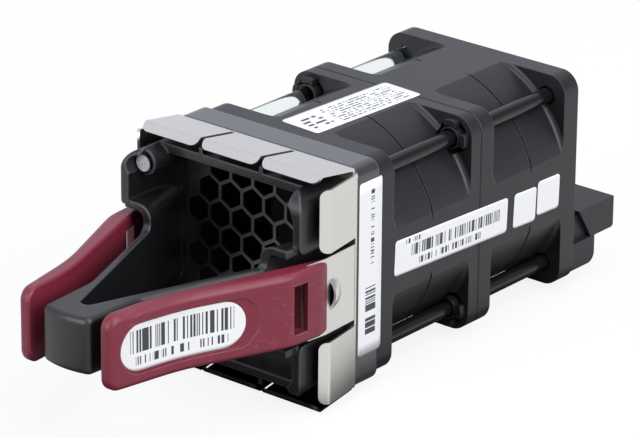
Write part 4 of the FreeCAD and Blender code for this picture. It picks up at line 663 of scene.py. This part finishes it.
# %% Oval sheet in the lever's dish
BEND_Y, BEND_X, BEND_RUN = -41.6, 13.0, 3.85
REAR_SLOPE, FRONT_SLOPE = 7.6 / 18.3, 2.9 / 14.9
DISH, DISH_START, DISH_RAMP = 0.6, -28.7, 2.6
DISH_LIFT = LIFT + 0.04
OVAL_Y = -42.46


def in_dish(along, across):
    """x = BEND_X + mean slope * d + half the difference * |d|, with |d| rounded to (d^2 + r^2)/2r;
    the depth below that grows from 0 at DISH_START to DISH over DISH_RAMP."""
    station = OVAL_Y + along
    d = station - BEND_Y
    soft = np.where(np.abs(d) < BEND_RUN, (d * d + BEND_RUN ** 2) / (2 * BEND_RUN), np.abs(d))
    x = BEND_X + (REAR_SLOPE + FRONT_SLOPE) / 2 * d + (REAR_SLOPE - FRONT_SLOPE) / 2 * soft
    depth = DISH * np.clip((DISH_START - station) / DISH_RAMP, 0, 1)
    return x - depth + DISH_LIFT, station, across


sticker(
    "lever_label", length=23.0, width=8.3, corner=3.9, carry=in_dish, body="right_latch", material=paper(
        "label_lever_paper",
        (INK, dict(run="X", window=(-9.6, 9.6, -0.9, 3.1), step=0.19)),
        (INK, dict(run="X", window=(-8.6, 8.6, -3.1, -1.5), step=0.24, pitch=3.2, share=0.5, letter=1.7))))

# %% [markdown]
# The studio starts with a wide pale floor under the module. To the camera it is nearly as white as
# the room, with a share of its real surface left in, so that the module's shadow stays. In
# reflections it is white beside the module and falls to dark grey under it, where little light gets
# in; an oval distance from the module's middle draws that. Light that bounces off the floor is held
# back as well, so that black plastic keeps its depth.

# %% Floor
FLOOR_HALF = 3000 * MM
FLOOR_WHITE = 0.86
FLOOR_SEEN, FLOOR_BOUNCE = "#f2f2f2", "#5c5c5c"
MIDDLE_Y = 6
OVAL_STRETCH, OVAL_DARK, OVAL_OPEN = 4, 23, 32

ground = min(corner[2] for corner in cad_box)
mesh = bpy.data.meshes.new("floor")
square = np.array([(-1, -1, 0), (1, -1, 0), (1, 1, 0), (-1, 1, 0)]) * FLOOR_HALF + (0, 0, ground)
mesh.from_pydata(square.tolist(), [], [(0, 1, 2, 3)])
floor = bpy.data.objects.new("floor", mesh)
bpy.context.scene.collection.objects.link(floor)
print("floor at", round(ground / MM, 2))

# %% [markdown]
# The floor's card mixes a diffuse surface with plain white. The Light Path node tells what kind of
# ray looks at it, and the share of white follows from that.

# %% Card of the floor
# White card: a plain pale ground whose only mark is the soft shadow.
material, tree, place = new_finish("floor_card_white")
path = add(tree, "LightPath")
oval = add(tree, "Mapping", {
    "Vector": place, "Location": (0, -MIDDLE_Y / OVAL_STRETCH * MM, 0), "Scale": (1, 1 / OVAL_STRETCH, 0)})
away = add(tree, "VectorMath", {0: oval.outputs[0]}, operation="LENGTH")
beside = add(tree, "MapRange", {
    "Value": away.outputs["Value"], "From Min": OVAL_DARK * MM, "From Max": OVAL_OPEN * MM},
    interpolation_type="SMOOTHSTEP")
mirrored = add(
    tree, "Math", {0: path.outputs["Is Glossy Ray"], 1: beside.outputs["Result"]}, operation="MULTIPLY")
seen = add(
    tree, "Math", {0: path.outputs["Is Camera Ray"], 1: path.outputs["Is Transmission Ray"]},
    operation="MAXIMUM")
seen = add(tree, "Math", {0: seen.outputs[0], 1: FLOOR_WHITE}, operation="MULTIPLY")
share = add(tree, "Math", {0: seen.outputs[0], 1: mirrored.outputs[0]}, operation="MAXIMUM")
surface = add(tree, "Mix", {
    0: path.outputs["Is Camera Ray"], COLOUR_A: paint(FLOOR_BOUNCE), COLOUR_B: paint(FLOOR_SEEN)},
    data_type="RGBA")
card = add(tree, "BsdfDiffuse", {"Color": surface.outputs[COLOUR_OUT]})
white = add(tree, "Emission", {"Color": paint("#ffffff"), "Strength": 1.0})
mixed = add(tree, "MixShader", {0: share.outputs[0], 1: card.outputs[0], 2: white.outputs[0]})
add(tree, "OutputMaterial", {"Surface": mixed.outputs[0]})
floor.data.materials.append(material)
print("floor card:", material.name)

# %% [markdown]
# The room is even and white to the camera, in mirrors and through the clear rod. Its diffuse light is
# held back, so that the lamps model the shapes. The room's reflection is slightly cool and has one
# soft dim patch behind the module, which lets the round barrel show its turning.

# %% Room
ROOM_FILL = 0.42
ROOM_TINT = "#eef1fb"
DIM_WAY = Vector((0.50, 0.72, 0.46)).normalized()
DIM_TONE, DIM_COSINES = 0.45, (0.86, 0.97)

room = bpy.data.worlds.new("room")
bpy.context.scene.world = room
room.use_nodes = True
tree = room.node_tree
tree.nodes.clear()
path = add(tree, "LightPath")
seen = add(
    tree, "Math", {0: path.outputs["Is Camera Ray"], 1: path.outputs["Is Glossy Ray"]},
    operation="MAXIMUM")
seen = add(tree, "Math", {0: seen.outputs[0], 1: path.outputs["Is Transmission Ray"]}, operation="MAXIMUM")
way = add(tree, "TexCoord").outputs["Generated"]
facing = add(tree, "VectorMath", {0: way, 1: DIM_WAY}, operation="DOT_PRODUCT")
patch = add(tree, "MapRange", {
    "Value": facing.outputs["Value"], "From Min": DIM_COSINES[0], "From Max": DIM_COSINES[1],
    "To Min": 1.0, "To Max": DIM_TONE}, interpolation_type="SMOOTHSTEP")
tone = add(tree, "Mix", {
    0: path.outputs["Is Glossy Ray"], NUMBER_A: 1.0, NUMBER_B: patch.outputs["Result"]},
    data_type="FLOAT")
strength = add(tree, "MapRange", {
    "Value": seen.outputs[0], "To Min": ROOM_FILL, "To Max": tone.outputs[NUMBER_OUT]})
tint = add(tree, "Mix", {
    0: path.outputs["Is Camera Ray"], COLOUR_A: paint(ROOM_TINT), COLOUR_B: paint("#ffffff")},
    data_type="RGBA")
sky = add(tree, "Background", {
    "Color": tint.outputs[COLOUR_OUT], "Strength": strength.outputs["Result"]})
add(tree, "OutputWorld", {"Surface": sky.outputs[0]})
print("room fill", ROOM_FILL, "with a dim patch of", DIM_TONE)

# %% [markdown]
# Three soft lamps stand round the module, as in a tent of studio softboxes: one nearly overhead, one
# from the right for the long side with its labels, and one ahead that reaches into the duct.
# Area lamps nearly a metre across, beside a hand-sized object, give soft shadows and no hard glints.

# %% Lamps
CENTRE = Vector((0, MIDDLE_Y, 0)) * MM


def softbox(name, azimuth, elevation, distance, size, power):
    """Square area lamp on a sphere round the module, facing its middle: metres, degrees and watts."""
    turn, rise = math.radians(azimuth), math.radians(elevation)
    outward = Vector((
        math.sin(turn) * math.cos(rise), -math.cos(turn) * math.cos(rise), math.sin(rise)))
    lamp = bpy.data.lights.new(name, "AREA")
    lamp.size = size
    lamp.energy = power
    rig = bpy.data.objects.new(name, lamp)
    rig.location = CENTRE + outward * distance
    rig.rotation_euler = outward.to_track_quat("Z", "Y").to_euler()
    bpy.context.scene.collection.objects.link(rig)
    print(name, "at", [round(v, 2) for v in rig.location])


softbox("lamp_over", azimuth=80, elevation=70, distance=1.0, size=0.9, power=6.0)
softbox("lamp_right", azimuth=85, elevation=25, distance=1.2, size=0.8, power=10.5)
softbox("lamp_front", azimuth=-15, elevation=20, distance=1.2, size=0.8, power=8.0)

# %% [markdown]
# The camera stands where the photograph was taken: a long lens from the front right and above. Its
# place is written as azimuth, elevation and distance from the point in the middle of the picture.
# A roll of half a degree is left, because the real camera was not quite level.

# %% Camera
AZIMUTH, ELEVATION, ROLL = (math.radians(angle) for angle in (39.522, 22.174, 0.507))
AIM = Vector((0.76, 7.71, 1.89)) * MM
REACH = 742.5 * MM
SENSOR_MM, LENS_MM = 36.0, 241.36
CLIP_NEAR = 10 * MM

back = Vector((
    math.sin(AZIMUTH) * math.cos(ELEVATION),
    -math.cos(AZIMUTH) * math.cos(ELEVATION),
    math.sin(ELEVATION)))
level = Vector((math.cos(AZIMUTH), math.sin(AZIMUTH), 0))
upward = back.cross(level)
right = level * math.cos(ROLL) + upward * math.sin(ROLL)
up = upward * math.cos(ROLL) - level * math.sin(ROLL)
lens = bpy.data.cameras.new("camera")
lens.sensor_width = SENSOR_MM
lens.lens = LENS_MM
lens.clip_start = CLIP_NEAR
camera = bpy.data.objects.new("camera", lens)
turned = Matrix((right, up, back)).transposed().to_4x4()
camera.matrix_world = Matrix.Translation(AIM + back * REACH) @ turned
bpy.context.scene.collection.objects.link(camera)
bpy.context.scene.camera = camera
bpy.context.scene.view_settings.view_transform = "Standard"
print("camera at", [round(v / MM, 1) for v in camera.location])
